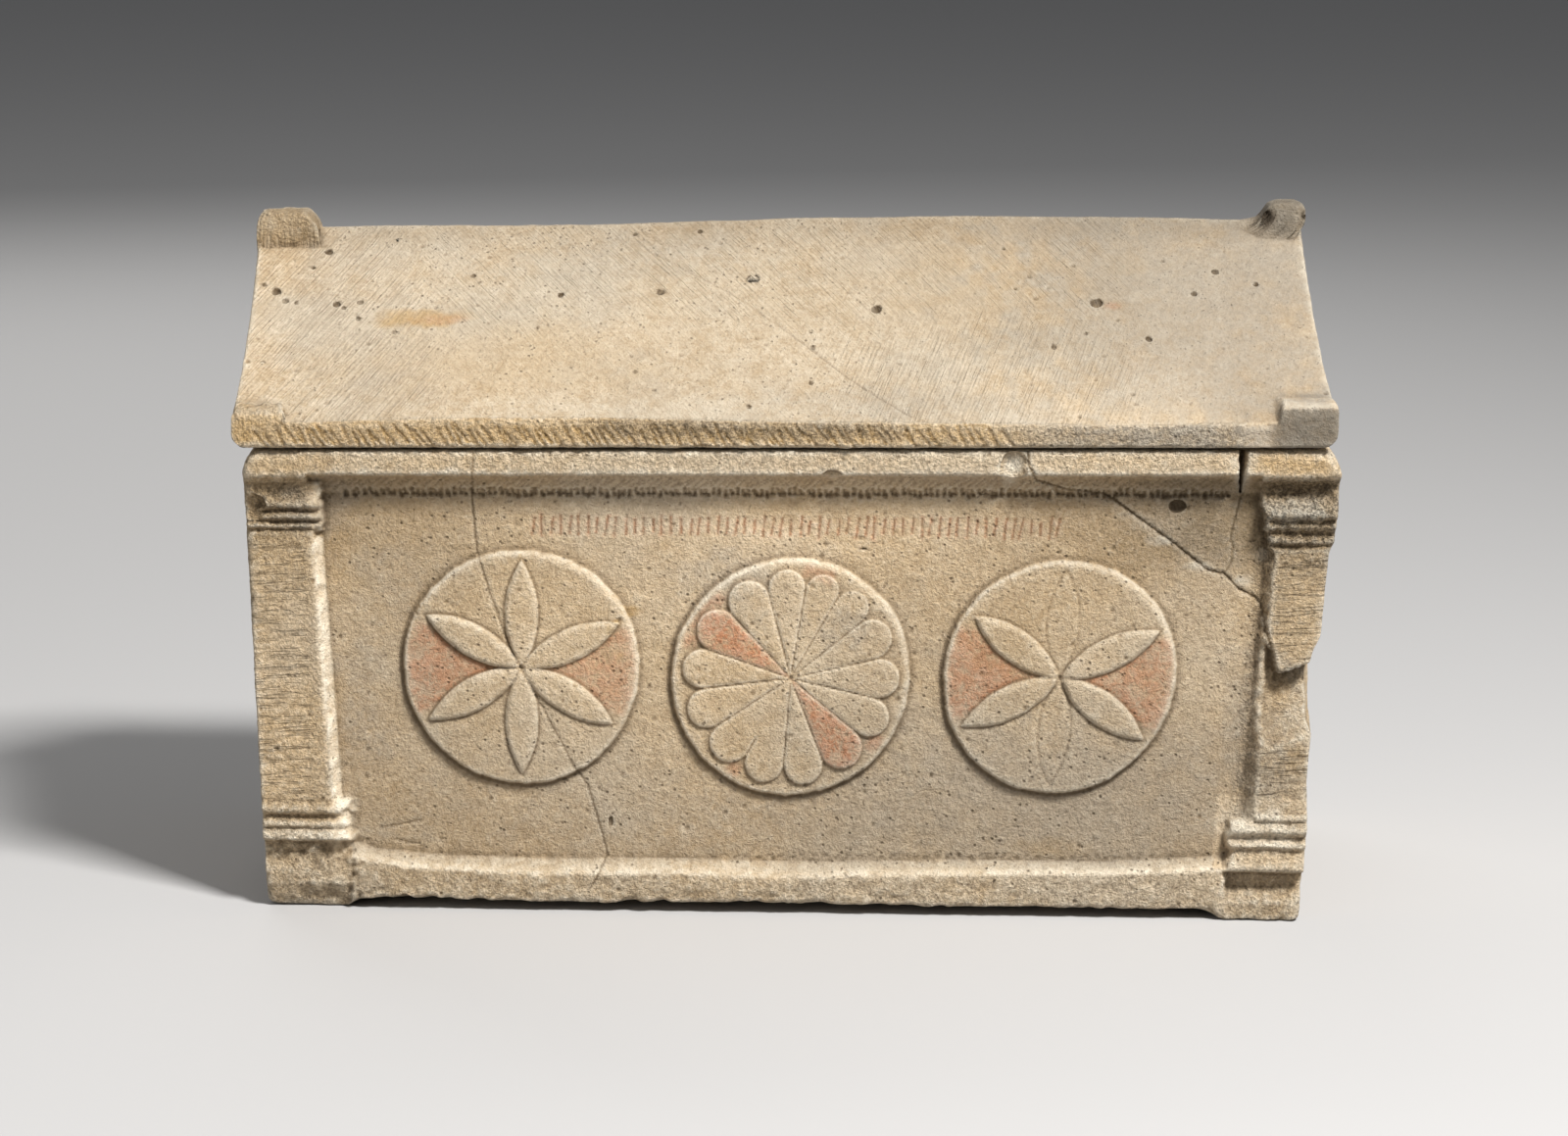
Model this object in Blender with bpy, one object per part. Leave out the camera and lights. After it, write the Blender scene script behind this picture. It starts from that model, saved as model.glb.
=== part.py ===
"""Limestone ossuary: a hollow chest on four low feet and a loose gabled lid.

Both pieces are first laid out square and level, the way a mason marks a block: X runs along the
length, Y from front (-Y) to back, Z up from the ground. hand_cut() then gives them the lean, the
taper and the slightly sloping rim of the real, hand-cut stone.
"""

import math
from dataclasses import dataclass

import bmesh
import bpy
from mathutils import Matrix, Vector

# Chest, in metres.
HALF_LENGTH = 0.301
RIM_ENDS = (-0.3027, 0.3007)
GROUND_ENDS = (-0.3000, 0.3025)
HALF_DEPTH = 0.140
RIM_HEIGHT = 0.2645
WALL = 0.033
FLOOR_TOP = 0.032
FOOT_HEIGHT = 0.0052
FOOT_LENGTH = 0.047
WELL_CORNER = 0.012
EDGE_WEAR = 0.0014

# How far a cutter stands clear of the stone that it cuts: in front, and past either end.
CLEAR = 0.020
PAST_END = 0.33

# Front of the chest: setbacks are measured inwards from the cornice face.
FRONT = -HALF_DEPTH
PANEL_SETBACK = 0.0140
SHAFT_SETBACK = 0.0060
PLINTH_SETBACK = 0.0040
PANEL_HALF = 0.264
PANEL_BOTTOM = 0.029
PANEL_TOP = 0.238
CORNICE_BOTTOM = 0.2503
CORNICE_LIP = 0.0035
SHAFT_FOOT = 0.060
SHAFT_HEAD = 0.2450
SHAFT_INNER = 0.255
SHAFT_SPLAY = 0.0045
FOOT_SPLAY = 0.008
COVE_RADIUS = 0.016
COVE_STEPS = 20
COVE_CENTRE = (FRONT - 0.0035, CORNICE_BOTTOM - 0.0150)
COVE_ENDS = (-PANEL_HALF - 0.003, PANEL_HALF - 0.006)
MOULDING_BED = 0.0120
OVERSHOOT = 0.006

# Rosettes.
DISC_RELIEF = 0.0035
PETAL_RELIEF = 0.0016
PETAL_EDGE = 0.0008
DISC_SEGMENTS = 72
# Rings of the disc from its foot to its face, as (in front of the panel, beyond the radius).
DISC_LEVELS = ((-0.0020, 0.0008), (DISC_RELIEF - 0.0010, 0.0004), (DISC_RELIEF, -0.0008))

# Lid.
LID_LEFT = -0.3068
LID_RIGHT = 0.2960
LID_HALF_DEPTH = 0.143
LID_EDGE = 0.0025
JOINT_GAP = 0.0003
EAVE_TOP = 0.280
RIDGE_HEIGHT = 0.376
RIDGE_HALF_WIDTH = 0.004
# Stations along the lid, as (share of its length, eave above or below EAVE_TOP, same for the ridge).
LID_STATIONS = ((0.00, -0.0006, -0.0026), (0.20, 0.0026, -0.0024), (0.33, 0.0028, -0.0021),
                (0.51, 0.0002, 0.0006), (0.69, -0.0006, 0.0016), (0.80, -0.0020, 0.0008),
                (1.00, 0.0000, -0.0025))
# How far each gable falls inwards, as (share of the height from eave to ridge, left end, right end).
GABLE_FALL = ((0.00, 0.0000, 0.0000), (0.25, 0.0018, 0.0045), (0.50, 0.0019, 0.0070),
              (0.80, 0.0010, 0.0086), (1.00, 0.0000, 0.0086))
LID_WALL = 0.031
ROOF_THICKNESS = 0.031
CROWN_HALF = 0.012
CROWN_DROP = 0.004

# Ridge knobs, through levels of (height, outer x, inner x, half the depth).
LEFT_RIDGE_KNOB = ((0.3500, LID_LEFT - 0.0012, LID_LEFT + 0.0345, 0.0190),
                   (0.3735, LID_LEFT - 0.0006, LID_LEFT + 0.0351, 0.0180),
                   (0.3790, LID_LEFT + 0.0008, LID_LEFT + 0.0308, 0.0168),
                   (0.3834, LID_LEFT + 0.0024, LID_LEFT + 0.0267, 0.0145))
RIGHT_RIDGE_KNOB = ((0.3500, LID_RIGHT - 0.0052, LID_RIGHT - 0.0293, 0.0145),
                    (0.3715, LID_RIGHT - 0.0030, LID_RIGHT - 0.0293, 0.0140),
                    (0.3805, LID_RIGHT - 0.0020, LID_RIGHT - 0.0232, 0.0125),
                    (0.3850, LID_RIGHT - 0.0040, LID_RIGHT - 0.0195, 0.0095))


@dataclass(frozen=True)
class EaveKnob:
    """A block on a corner of the eaves: its ends, its rise above the eave and the fall of a worn one."""

    outer: float
    inner: float
    rise: float
    fall: float


LEFT_EAVE_KNOB = EaveKnob(LID_LEFT - 0.0008, LID_LEFT + 0.0300, 0.0083, 0.0035)
RIGHT_EAVE_KNOB = EaveKnob(LID_RIGHT + 0.0016, LID_RIGHT - 0.0320, 0.0108, 0.0)
KNOB_PROUD = 0.0004
KNOB_DEPTH = 0.0230
# Upper levels of an eave knob, as (drop below its top, how much narrower, rise towards the back).
KNOB_LEVELS = ((0.0030, 0.0, 0.0040), (0.0, 0.0022, 0.0050))

# Irregularity of the hand-cut stone.
TAPER_HEIGHT = 0.268
LENGTH_TAPER = 0.043
DEPTH_TAPER = 0.067
SIDE_LEAN = 0.004
RIM_SLOPE = 0.05

LIMESTONE = (0.56, 0.46, 0.33, 1.0)


@dataclass(frozen=True)
class Moulding:
    """A run of carved mouldings across one pilaster, as (height, setback) down its face."""

    name: str
    inner_x: float
    outer_x: float
    profile: tuple
    inner_splay: float = 0.0


LEFT_CAPITAL = Moulding(
    "left_capital", -0.2580, -0.3022,
    ((0.2460, 0.0055), (0.2405, 0.0068), (0.2355, 0.0025), (0.2342, 0.0036), (0.2315, 0.0070),
     (0.2285, 0.0062), (0.2265, 0.0038), (0.2253, 0.0050), (0.2238, 0.0074), (0.2218, 0.0064),
     (0.2195, 0.0044), (0.2183, 0.0055), (0.2168, 0.0075), (0.2150, 0.0066)))
RIGHT_CAPITAL = Moulding(
    "right_capital", 0.2545, 0.3014,
    ((0.2470, 0.0052), (0.2430, 0.0092), (0.2395, 0.0088), (0.2290, 0.0014), (0.2268, 0.0022),
     (0.2248, 0.0056), (0.2228, 0.0036), (0.2214, 0.0038), (0.2176, 0.0080), (0.2155, 0.0062),
     (0.2128, 0.0056), (0.2108, 0.0084), (0.2085, 0.0068)),
    inner_splay=0.010)
LEFT_BASE = Moulding(
    "left_base", -0.2470, -0.3008,
    ((0.0630, 0.0066), (0.0585, 0.0036), (0.0560, 0.0040), (0.0540, 0.0072), (0.0512, 0.0066),
     (0.0498, 0.0036), (0.0474, 0.0036), (0.0458, 0.0062), (0.0440, 0.0036), (0.0398, 0.0032),
     (0.0372, 0.0070), (0.0300, 0.0095), (0.0140, 0.0064), (0.0125, 0.0080), (0.0060, 0.0086),
     (-0.0020, 0.0100)))
RIGHT_BASE = Moulding(
    "right_base", 0.2560, 0.3040,
    ((0.0570, 0.0066), (0.0520, 0.0034), (0.0500, 0.0038), (0.0470, 0.0078), (0.0456, 0.0070),
     (0.0430, 0.0034), (0.0418, 0.0044), (0.0396, 0.0068), (0.0378, 0.0060), (0.0310, 0.0014),
     (0.0286, 0.0018), (0.0266, 0.0096), (0.0180, 0.0112), (0.0110, 0.0040), (-0.0020, 0.0030)))


@dataclass(frozen=True)
class Rosette:
    """A raised disc on the panel, with the bearings of its petals clockwise from the top."""

    name: str
    x: float
    z: float
    radius: float
    bearings: tuple
    spoon_petals: bool


ROSETTES = (
    Rosette("left", -0.1505, 0.1398, 0.0668, (0.5, 64.7, 121.6, 180.0, 240.3, 299.5), False),
    Rosette("centre", 0.0018, 0.1350, 0.0674,
            (-3, 18.6, 39, 62, 92, 113.8, 143.5, 171, 195, 222.4, 249.9, 275.5, 301.9, 331.4), True),
    Rosette("right", 0.1540, 0.1359, 0.0659, (63.8, 124.7, 242.8, 304.7), False),
)
VESICA_LENGTH = 0.0610
VESICA_HALF_WIDTH = 0.0092
SPOON_END = 0.0585
SPOON_GAP = math.radians(1.1)

# Breaks: centre, radii, each an irregular scoop out of the stone.
BREAKS = {
    "cornice_chip": ((0.1270, -0.1440, 0.2590), (0.0085, 0.0075, 0.0150)),
    "fascia_chip": ((0.0210, -0.1415, 0.2500), (0.0060, 0.0050, 0.0035)),
    "capital_chip": ((-0.3030, -0.1400, 0.2290), (0.0120, 0.0080, 0.0100)),
    "panel_pit": ((0.2128, -0.1270, 0.2317), (0.0046, 0.0080, 0.0038)),
}

# The break in the right pilaster: stations from its inner edge outwards, as (x, height of the mended
# fragment's foot, height of the break's own foot), and its depth, as (setback from the cornice face,
# share of the way up from foot to fragment, inset of its inner edge).
BREAK_STATIONS = ((0.2655, 0.1600, 0.1031), (0.2715, 0.1523, 0.1003), (0.2762, 0.1386, 0.0980),
                  (0.2860, 0.1420, 0.1007), (0.2968, 0.1463, 0.1060), (0.3020, 0.1530, 0.1080),
                  (0.3120, 0.1600, 0.1100))
BREAK_DEPTHS = ((0.0020, -0.25, 0.0), (0.0135, 0.52, 0.0035), (0.0175, 0.94, 0.0050))
# The same break seen on the chest's right end, as (x, height), and how it runs out towards the back.
SIDE_BREAK = ((0.3300, 0.1640), (0.2971, 0.1600), (0.2934, 0.1518), (0.2906, 0.1408), (0.2921, 0.1272),
              (0.2936, 0.1135), (0.2971, 0.1060), (0.3300, 0.1020))
SIDE_BREAK_BACK = -0.065
SIDE_BREAK_RUNOUT = 0.0100
# Below its capital the right pilaster's side lies a little further in, as (height, how far).
SIDE_SETBACK = ((0.0530, 0.0), (0.0800, 0.0030), (0.2070, 0.0028), (0.2120, 0.0))
SIDE_SETBACK_BACK = -0.075

# The mended fragment's open joint on the front, from the cornice to the break in the pilaster.
FRAGMENT_JOINT = (
    (0.1312, 0.2700), (0.1335, 0.2560), (0.1376, 0.2470), (0.1506, 0.2417), (0.1594, 0.2403),
    (0.1703, 0.2390), (0.1788, 0.2346), (0.1943, 0.2237), (0.2134, 0.2106), (0.2327, 0.1963),
    (0.2420, 0.1942), (0.2518, 0.1854), (0.2593, 0.1819), (0.2647, 0.1772), (0.2676, 0.1640),
    (0.2728, 0.1508), (0.2762, 0.1386))
JOINT_WIDTH = 0.0014
JOINT_FLOOR = -0.1215
# The gap in the cornice beside the right pilaster, as (x, height), and its depth.
SLOT = ((0.2430, 0.2700), (0.2478, 0.2700), (0.2478, 0.2500), (0.2475, 0.2390), (0.2460, 0.2500))
SLOT_DEPTH = 0.022

# Worn upper ends of the chest at its front, as (side, how far down, how far in), and their share of
# that at the back.
SHOULDERS = ((-1, 0.0140, 0.0060), (1, 0.0150, 0.0075))
SHOULDER_BACK_SHARE = 0.35
# Worn left arris of the front, as (height, width of the flat).
LEFT_ARRIS = ((0.090, 0.0), (0.150, 0.0018), (0.249, 0.0050))
ARRIS_REACH = 0.010
FOOT_WEAR = (0.014, 0.013)


def remove_everything():
    """Empty the scene."""
    for existing in list(bpy.data.objects):
        bpy.data.objects.remove(existing)


def solid(name, points, faces):
    """One closed mesh object from points and faces, in triangles turned outwards."""
    mesh = bpy.data.meshes.new(name)
    mesh.from_pydata(points, [], faces)
    shape = bmesh.new()
    shape.from_mesh(mesh)
    bmesh.ops.triangulate(shape, faces=shape.faces[:])
    bmesh.ops.recalc_face_normals(shape, faces=shape.faces[:])
    shape.to_mesh(mesh)
    shape.free()
    made = bpy.data.objects.new(name, mesh)
    bpy.context.collection.objects.link(made)
    return made


def loft(name, *loops):
    """A solid through loops of equal length, capped at both ends."""
    count = len(loops[0])
    points = [point for loop in loops for point in loop]
    faces = [tuple(range(count)), tuple(range(len(points) - count, len(points)))]
    for level in range(len(loops) - 1):
        start = level * count
        for i in range(count):
            j = (i + 1) % count
            faces.append((start + i, start + j, start + count + j, start + count + i))
    return solid(name, points, faces)


def prism_x(name, outline, left, right):
    """A (y, z) outline drawn out along X."""
    return loft(name, [(left, y, z) for y, z in outline], [(right, y, z) for y, z in outline])


def prism_y(name, outline, front, back):
    """An (x, z) outline drawn out along Y."""
    return loft(name, [(x, front, z) for x, z in outline], [(x, back, z) for x, z in outline])


def block(name, low, high):
    """A box between two corners."""
    outline = ((low[1], low[2]), (high[1], low[2]), (high[1], high[2]), (low[1], high[2]))
    return prism_x(name, outline, low[0], high[0])


def rectangle(x, y, z):
    """The four corners of a level rectangle between (x0, x1) and (y0, y1)."""
    return [(x[0], y[0], z), (x[1], y[0], z), (x[1], y[1], z), (x[0], y[1], z)]


def combine(target, others, operation):
    """Add the others to the target, or cut them from it, with the exact solver."""
    for other in others:
        other.hide_render = True
        other.display_type = "WIRE"
        modifier = target.modifiers.new(other.name, "BOOLEAN")
        modifier.operation = operation
        modifier.solver = "EXACT"
        modifier.object = other
    graph = bpy.context.evaluated_depsgraph_get()
    shaped = bpy.data.meshes.new_from_object(target.evaluated_get(graph))
    target.modifiers.clear()
    target.data = shaped
    for other in others:
        bpy.data.objects.remove(other)


def chamfer_edges(target, width):
    """Knock off every edge of a plain block by one small flat."""
    shape = bmesh.new()
    shape.from_mesh(target.data)
    bmesh.ops.bevel(shape, geom=shape.edges[:], offset=width, segments=1, affect="EDGES")
    shape.to_mesh(target.data)
    shape.free()


def front_recess():
    """Everything in front of the plinth face, below the cornice, with the cornice's hollow."""
    reach = FRONT - CLEAR
    face = FRONT + PLINTH_SETBACK
    outline = ((reach, -CLEAR), (face, -CLEAR), (face, CORNICE_BOTTOM - CORNICE_LIP),
               (FRONT, CORNICE_BOTTOM), (reach, CORNICE_BOTTOM + CLEAR / 2))
    return prism_x("front_recess", outline, -PAST_END, PAST_END)


def shaft_recesses():
    """The pilaster shafts, set back from the plinth face on both sides."""
    reach = FRONT - CLEAR
    face = FRONT + SHAFT_SETBACK
    outline = ((reach, SHAFT_FOOT), (face, SHAFT_FOOT), (face, SHAFT_HEAD), (reach, SHAFT_HEAD))
    return [prism_x("left_shaft", outline, -PAST_END, -SHAFT_INNER),
            prism_x("right_shaft", outline, SHAFT_INNER, PAST_END)]


def panel_recess():
    """The sunk panel, with a splay down each side and along the foot and a cove along the top."""
    depth = PANEL_SETBACK + OVERSHOOT
    side = SHAFT_SPLAY / (PANEL_SETBACK - SHAFT_SETBACK) * depth
    foot = FOOT_SPLAY / (PANEL_SETBACK - PLINTH_SETBACK) * depth
    cove = (CORNICE_BOTTOM - PANEL_TOP) / PANEL_SETBACK * depth
    near = FRONT - OVERSHOOT
    far = FRONT + PANEL_SETBACK

    def loop(y, grow):
        half = PANEL_HALF + side * grow
        low = PANEL_BOTTOM - foot * grow
        high = PANEL_TOP + cove * grow
        return [(-half, y, low), (half, y, low), (half, y, high), (-half, y, high)]

    return loft("panel", loop(near, 1.0), loop(far, 0.0))


def cove_hollow():
    """The hollow of the cove: a long round scoop between the cornice and the panel."""
    angles = [math.tau * i / COVE_STEPS for i in range(COVE_STEPS)]
    outline = [(COVE_CENTRE[0] + COVE_RADIUS * math.cos(a), COVE_CENTRE[1] + COVE_RADIUS * math.sin(a))
               for a in angles]
    return prism_x("cove_hollow", outline, *COVE_ENDS)


def moulding_bed(moulding):
    """The stone cut back behind one run of mouldings, before they are set in."""
    left, right = sorted((moulding.inner_x, math.copysign(PAST_END, moulding.inner_x)))
    top, bottom = moulding.profile[0][0], moulding.profile[-1][0]
    if bottom < 0.0:
        bottom -= CLEAR
    return block(moulding.name + "_bed", (left, FRONT - CLEAR, bottom), (right, FRONT + MOULDING_BED, top))


def moulding_solid(moulding):
    """A pilaster's capital or base as one profiled bar, its inner end splayed if asked."""
    back = FRONT + PANEL_SETBACK + OVERSHOOT
    outline = [(back, moulding.profile[0][0])]
    outline += [(FRONT + setback, height) for height, setback in moulding.profile]
    outline.append((back, moulding.profile[-1][0]))
    top, bottom = moulding.profile[0][0], moulding.profile[-1][0]
    inner = [(moulding.inner_x + moulding.inner_splay * (top - z) / (top - bottom), y, z)
             for y, z in outline]
    outer = [(moulding.outer_x, y, z) for y, z in outline]
    return loft(moulding.name, inner, outer)


def bearing(angle, distance, centre):
    """The (x, z) point at a distance from a centre, at a bearing clockwise from the top."""
    return (centre[0] + distance * math.sin(angle), centre[1] + distance * math.cos(angle))


def vesica(length, half_width, steps=8):
    """A pointed petal along +Z from the origin, made of two equal arcs."""
    radius = (length * length / 4 + half_width * half_width) / (2 * half_width)
    reach = math.asin(length / 2 / radius)
    right = []
    for i in range(steps + 1):
        angle = -reach + 2 * reach * i / steps
        right.append((radius * math.cos(angle) - radius + half_width,
                      length / 2 + radius * math.sin(angle)))
    return right + [(-x, z) for x, z in reversed(right[1:-1])]


def spoon(end, half_angle, steps=8):
    """A petal along +Z from the origin: straight sides that widen to a round end."""
    ratio = math.sin(half_angle)
    centre = end / (1 + ratio)
    radius = centre * ratio
    outline = [(0.0, 0.004)]
    for i in range(steps + 1):
        angle = -half_angle + (math.pi + 2 * half_angle) * i / steps
        outline.append((radius * math.cos(angle), centre + radius * math.sin(angle)))
    return outline


def inset(outline, distance, limit=5.0):
    """The outline moved inwards by a distance, with its mitres held to a limit."""
    moved = []
    for i, point in enumerate(outline):
        here = Vector(point)
        before = (here - Vector(outline[i - 1])).normalized()
        after = (Vector(outline[(i + 1) % len(outline)]) - here).normalized()
        across = Vector((-before.y - after.y, before.x + after.x)).normalized()
        stretch = min(limit, 1.0 / max(0.05, across.dot(Vector((-before.y, before.x)))))
        moved.append(tuple(here + across * distance * stretch))
    return moved


def disc_solid(rosette):
    """The raised disc, its rim chamfered."""
    panel = FRONT + PANEL_SETBACK
    loops = []
    for relief, grow in DISC_LEVELS:
        loop = []
        for i in range(DISC_SEGMENTS):
            x, z = bearing(math.tau * i / DISC_SEGMENTS, rosette.radius + grow, (rosette.x, rosette.z))
            loop.append((x, panel - relief, z))
        loops.append(loop)
    return loft(rosette.name + "_disc", *loops)


def petal_solid(rosette, index):
    """One raised petal with its edges chamfered."""
    angles = [math.radians(b) for b in rosette.bearings]
    angle = angles[index]
    if rosette.spoon_petals:
        before = (angle - angles[index - 1]) % math.tau
        after = (angles[(index + 1) % len(angles)] - angle) % math.tau
        share = (min(before, after) + (before + after) / 2) / 4
        outline = spoon(SPOON_END, share - SPOON_GAP)
    else:
        outline = vesica(VESICA_LENGTH, VESICA_HALF_WIDTH)
    face = FRONT + PANEL_SETBACK - DISC_RELIEF
    loops = []
    for y, loop in ((face + 0.001, outline), (face - PETAL_RELIEF, inset(outline, PETAL_EDGE))):
        turned = []
        for x, z in loop:
            turned.append((rosette.x + x * math.cos(angle) + z * math.sin(angle), y,
                           rosette.z - x * math.sin(angle) + z * math.cos(angle)))
        loops.append(turned)
    return loft(f"{rosette.name}_petal_{index}", *loops)


def scoop(name, centre, radii):
    """An irregular, faceted lump whose cut leaves a broken surface."""
    shape = bmesh.new()
    bmesh.ops.create_icosphere(shape, subdivisions=2, radius=1.0)
    for corner in shape.verts:
        wave = math.sin(7.3 * corner.co.x + 1.1) + math.sin(8.9 * corner.co.z + 2.3 * corner.co.y)
        corner.co *= 1.0 + 0.03 * wave
    bmesh.ops.transform(shape, matrix=Matrix.Translation(centre) @ Matrix.Diagonal((*radii, 1.0)),
                        verts=shape.verts[:])
    mesh = bpy.data.meshes.new(name)
    shape.to_mesh(mesh)
    shape.free()
    made = bpy.data.objects.new(name, mesh)
    bpy.context.collection.objects.link(made)
    return made


def fragment_joint():
    """The open joint of the mended fragment, as a thin blade that follows its line."""
    near = FRONT - OVERSHOOT
    left, right = [], []
    for i, point in enumerate(FRAGMENT_JOINT):
        before = Vector(FRAGMENT_JOINT[max(0, i - 1)])
        after = Vector(FRAGMENT_JOINT[min(len(FRAGMENT_JOINT) - 1, i + 1)])
        along = (after - before).normalized()
        across = Vector((-along.y, along.x)) * (JOINT_WIDTH / 2)
        left.append(tuple(Vector(point) + across))
        right.append(tuple(Vector(point) - across))
    outline = left + right[::-1]
    return prism_y("fragment_joint", outline, near, JOINT_FLOOR)


def slot():
    """The gap in the cornice beside the right pilaster, open at the rim and closed at its foot."""
    return prism_y("slot", SLOT, FRONT - OVERSHOOT, FRONT + SLOT_DEPTH)


def pilaster_break():
    """The stone lost from the right pilaster: deep under the mended fragment, running out below."""
    loops = []
    first, second = BREAK_STATIONS[:2]
    for setback, rise, inset_x in BREAK_DEPTHS:
        part = inset_x / (second[0] - first[0])
        start = tuple(a + (b - a) * part for a, b in zip(first, second))
        stations = (start, *BREAK_STATIONS[1:])
        lower = [(x, FRONT + setback, foot + rise * (top - foot)) for x, top, foot in stations]
        upper = [(x, FRONT + setback, top) for x, top, foot in stations]
        loops.append(lower + upper[::-1])
    return loft("pilaster_break", *loops)


def side_break():
    """The same loss on the chest's right end, running out towards the back."""
    near = [(x, FRONT - CLEAR / 2, z) for x, z in SIDE_BREAK]
    far = [(x + SIDE_BREAK_RUNOUT, SIDE_BREAK_BACK, z) for x, z in SIDE_BREAK]
    return loft("side_break", near, far)


def side_setback():
    """The sliver by which the right pilaster's side lies in from its capital and its base."""
    near, far, out = FRONT - CLEAR / 2, SIDE_SETBACK_BACK, CLEAR / 2
    loops = []
    for z, bite in SIDE_SETBACK:
        side = GROUND_ENDS[1] + (RIM_ENDS[1] - GROUND_ENDS[1]) * z / RIM_HEIGHT + JOINT_GAP
        loops.append([(side - bite, near, z), (side + out, near, z), (side + out, far, z), (side, far, z)])
    return loft("side_setback", *loops)


def underside():
    """The ground plane, and the two low passages that leave the four feet."""
    inner = HALF_LENGTH - FOOT_LENGTH
    gap = ((-inner, -CLEAR), (inner, -CLEAR), (inner, 0.0), (inner - FOOT_HEIGHT, FOOT_HEIGHT),
           (-inner + FOOT_HEIGHT, FOOT_HEIGHT), (-inner, 0.0))
    half = HALF_DEPTH - FOOT_LENGTH
    return [block("ground", (-PAST_END, -PAST_END, -CLEAR), (PAST_END, PAST_END, 0.0)),
            prism_y("gap_along", gap, -PAST_END, PAST_END),
            block("gap_across", (-PAST_END, -half, -CLEAR), (PAST_END, half, FOOT_HEIGHT))]


def worn_corners():
    """Wear on the chest's upper ends, its left arris and the outer corners of its feet."""
    cutters = []
    end = HALF_DEPTH + CLEAR
    over = CLEAR / 2
    for side, drop, bite in SHOULDERS:
        edge, slope = abs(RIM_ENDS[side > 0]) + JOINT_GAP / 3, bite / drop
        loops = []
        for y, share in ((-end, 1.0), (end, SHOULDER_BACK_SHARE)):
            low = RIM_HEIGHT - drop * share
            loops.append([(side * (edge + CLEAR * slope), y, low - CLEAR),
                          (side * (edge - (drop + over) * slope * share), y, RIM_HEIGHT + over),
                          (side * (edge + CLEAR + over), y, RIM_HEIGHT + over)])
        cutters.append(loft(f"shoulder_{side}", *loops))
    for side in (-1, 1):
        outer = HALF_LENGTH + OVERSHOOT
        outline = ((side * (outer - FOOT_WEAR[0]), -OVERSHOOT), (side * outer, FOOT_WEAR[1]),
                   (side * (outer + CLEAR), -OVERSHOOT))
        cutters.append(prism_y(f"foot_corner_{side}", outline, -end, end))
    arris = []
    x, y, reach = RIM_ENDS[0], FRONT + SHAFT_SETBACK, ARRIS_REACH
    for z, width in LEFT_ARRIS:
        arris.append([(x - reach, y - reach, z), (x - reach, y + reach + width, z),
                      (x + reach + width, y - reach, z)])
    cutters.append(loft("left_arris", *arris))
    return cutters


def make_chest():
    """The chest: a block whose front is cut back to the carving, then hollowed and worn."""
    depth = (FRONT, HALF_DEPTH)
    chest = loft("chest", rectangle(GROUND_ENDS, depth, -2 * EDGE_WEAR),
                 rectangle(RIM_ENDS, depth, RIM_HEIGHT))
    chamfer_edges(chest, EDGE_WEAR)
    mouldings = (LEFT_CAPITAL, RIGHT_CAPITAL, LEFT_BASE, RIGHT_BASE)
    recesses = [front_recess(), *shaft_recesses(), panel_recess(), cove_hollow()]
    combine(chest, recesses + [moulding_bed(m) for m in mouldings], "DIFFERENCE")

    combine(chest, [moulding_solid(m) for m in mouldings], "UNION")
    combine(chest, [disc_solid(r) for r in ROSETTES], "UNION")
    petals = [petal_solid(r, i) for r in ROSETTES for i in range(len(r.bearings))]
    combine(chest, petals, "UNION")

    inner_x, inner_y, cut = HALF_LENGTH - WALL, HALF_DEPTH - WALL, WELL_CORNER
    well = [(-inner_x + cut, -inner_y), (inner_x - cut, -inner_y), (inner_x, -inner_y + cut),
            (inner_x, inner_y - cut), (inner_x - cut, inner_y), (-inner_x + cut, inner_y),
            (-inner_x, inner_y - cut), (-inner_x, -inner_y + cut)]
    hollow = loft("hollow", *([(x, y, z) for x, y in well] for z in (FLOOR_TOP, RIM_HEIGHT + CLEAR)))
    breaks = [scoop(name, *shape) for name, shape in BREAKS.items()]
    breaks += [side_setback(), pilaster_break(), side_break()]
    cutters = [hollow, *breaks, slot(), fragment_joint(), *worn_corners(), *underside()]
    combine(chest, cutters, "DIFFERENCE")
    return chest


def ridge_knob(name, levels):
    """A lump on one end of the ridge, through levels of (height, outer x, inner x, half its depth)."""
    return loft(name, *(rectangle((outer, inner), (-half, half), z) for z, outer, inner, half in levels))


def eave_knob(name, knob, side):
    """A low block on one corner of the eaves, its top running back into the roof."""
    front = side * (LID_HALF_DEPTH + KNOB_PROUD)
    back = side * (LID_HALF_DEPTH - KNOB_DEPTH)
    loops = [rectangle((knob.outer, knob.inner), (front, back), RIM_HEIGHT + JOINT_GAP + LID_EDGE)]
    for drop, narrow, back_rise in KNOB_LEVELS:
        edge = front - side * narrow
        low_x = knob.outer + math.copysign(narrow, knob.inner - knob.outer)
        high_x = knob.inner - math.copysign(narrow, knob.inner - knob.outer)
        top = EAVE_TOP + knob.rise - drop
        loops.append([(low_x, edge, top), (high_x, edge, top - knob.fall),
                      (high_x, back, top + back_rise), (low_x, back, top + back_rise)])
    return loft(name, *loops)


def slope_outline():
    """The lid's outline seen from its end, as (y, z), with the points of its slopes where the gables bend."""
    seat, deep = RIM_HEIGHT + JOINT_GAP, LID_HALF_DEPTH
    front = [(-deep + (deep - RIDGE_HALF_WIDTH) * up, up) for up, *_ in GABLE_FALL]
    low = ((-deep + LID_EDGE, seat), (deep - LID_EDGE, seat), (deep, seat + LID_EDGE))
    return low, [(-y, up) for y, up in front] + front[::-1], (-deep, seat + LID_EDGE)


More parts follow.
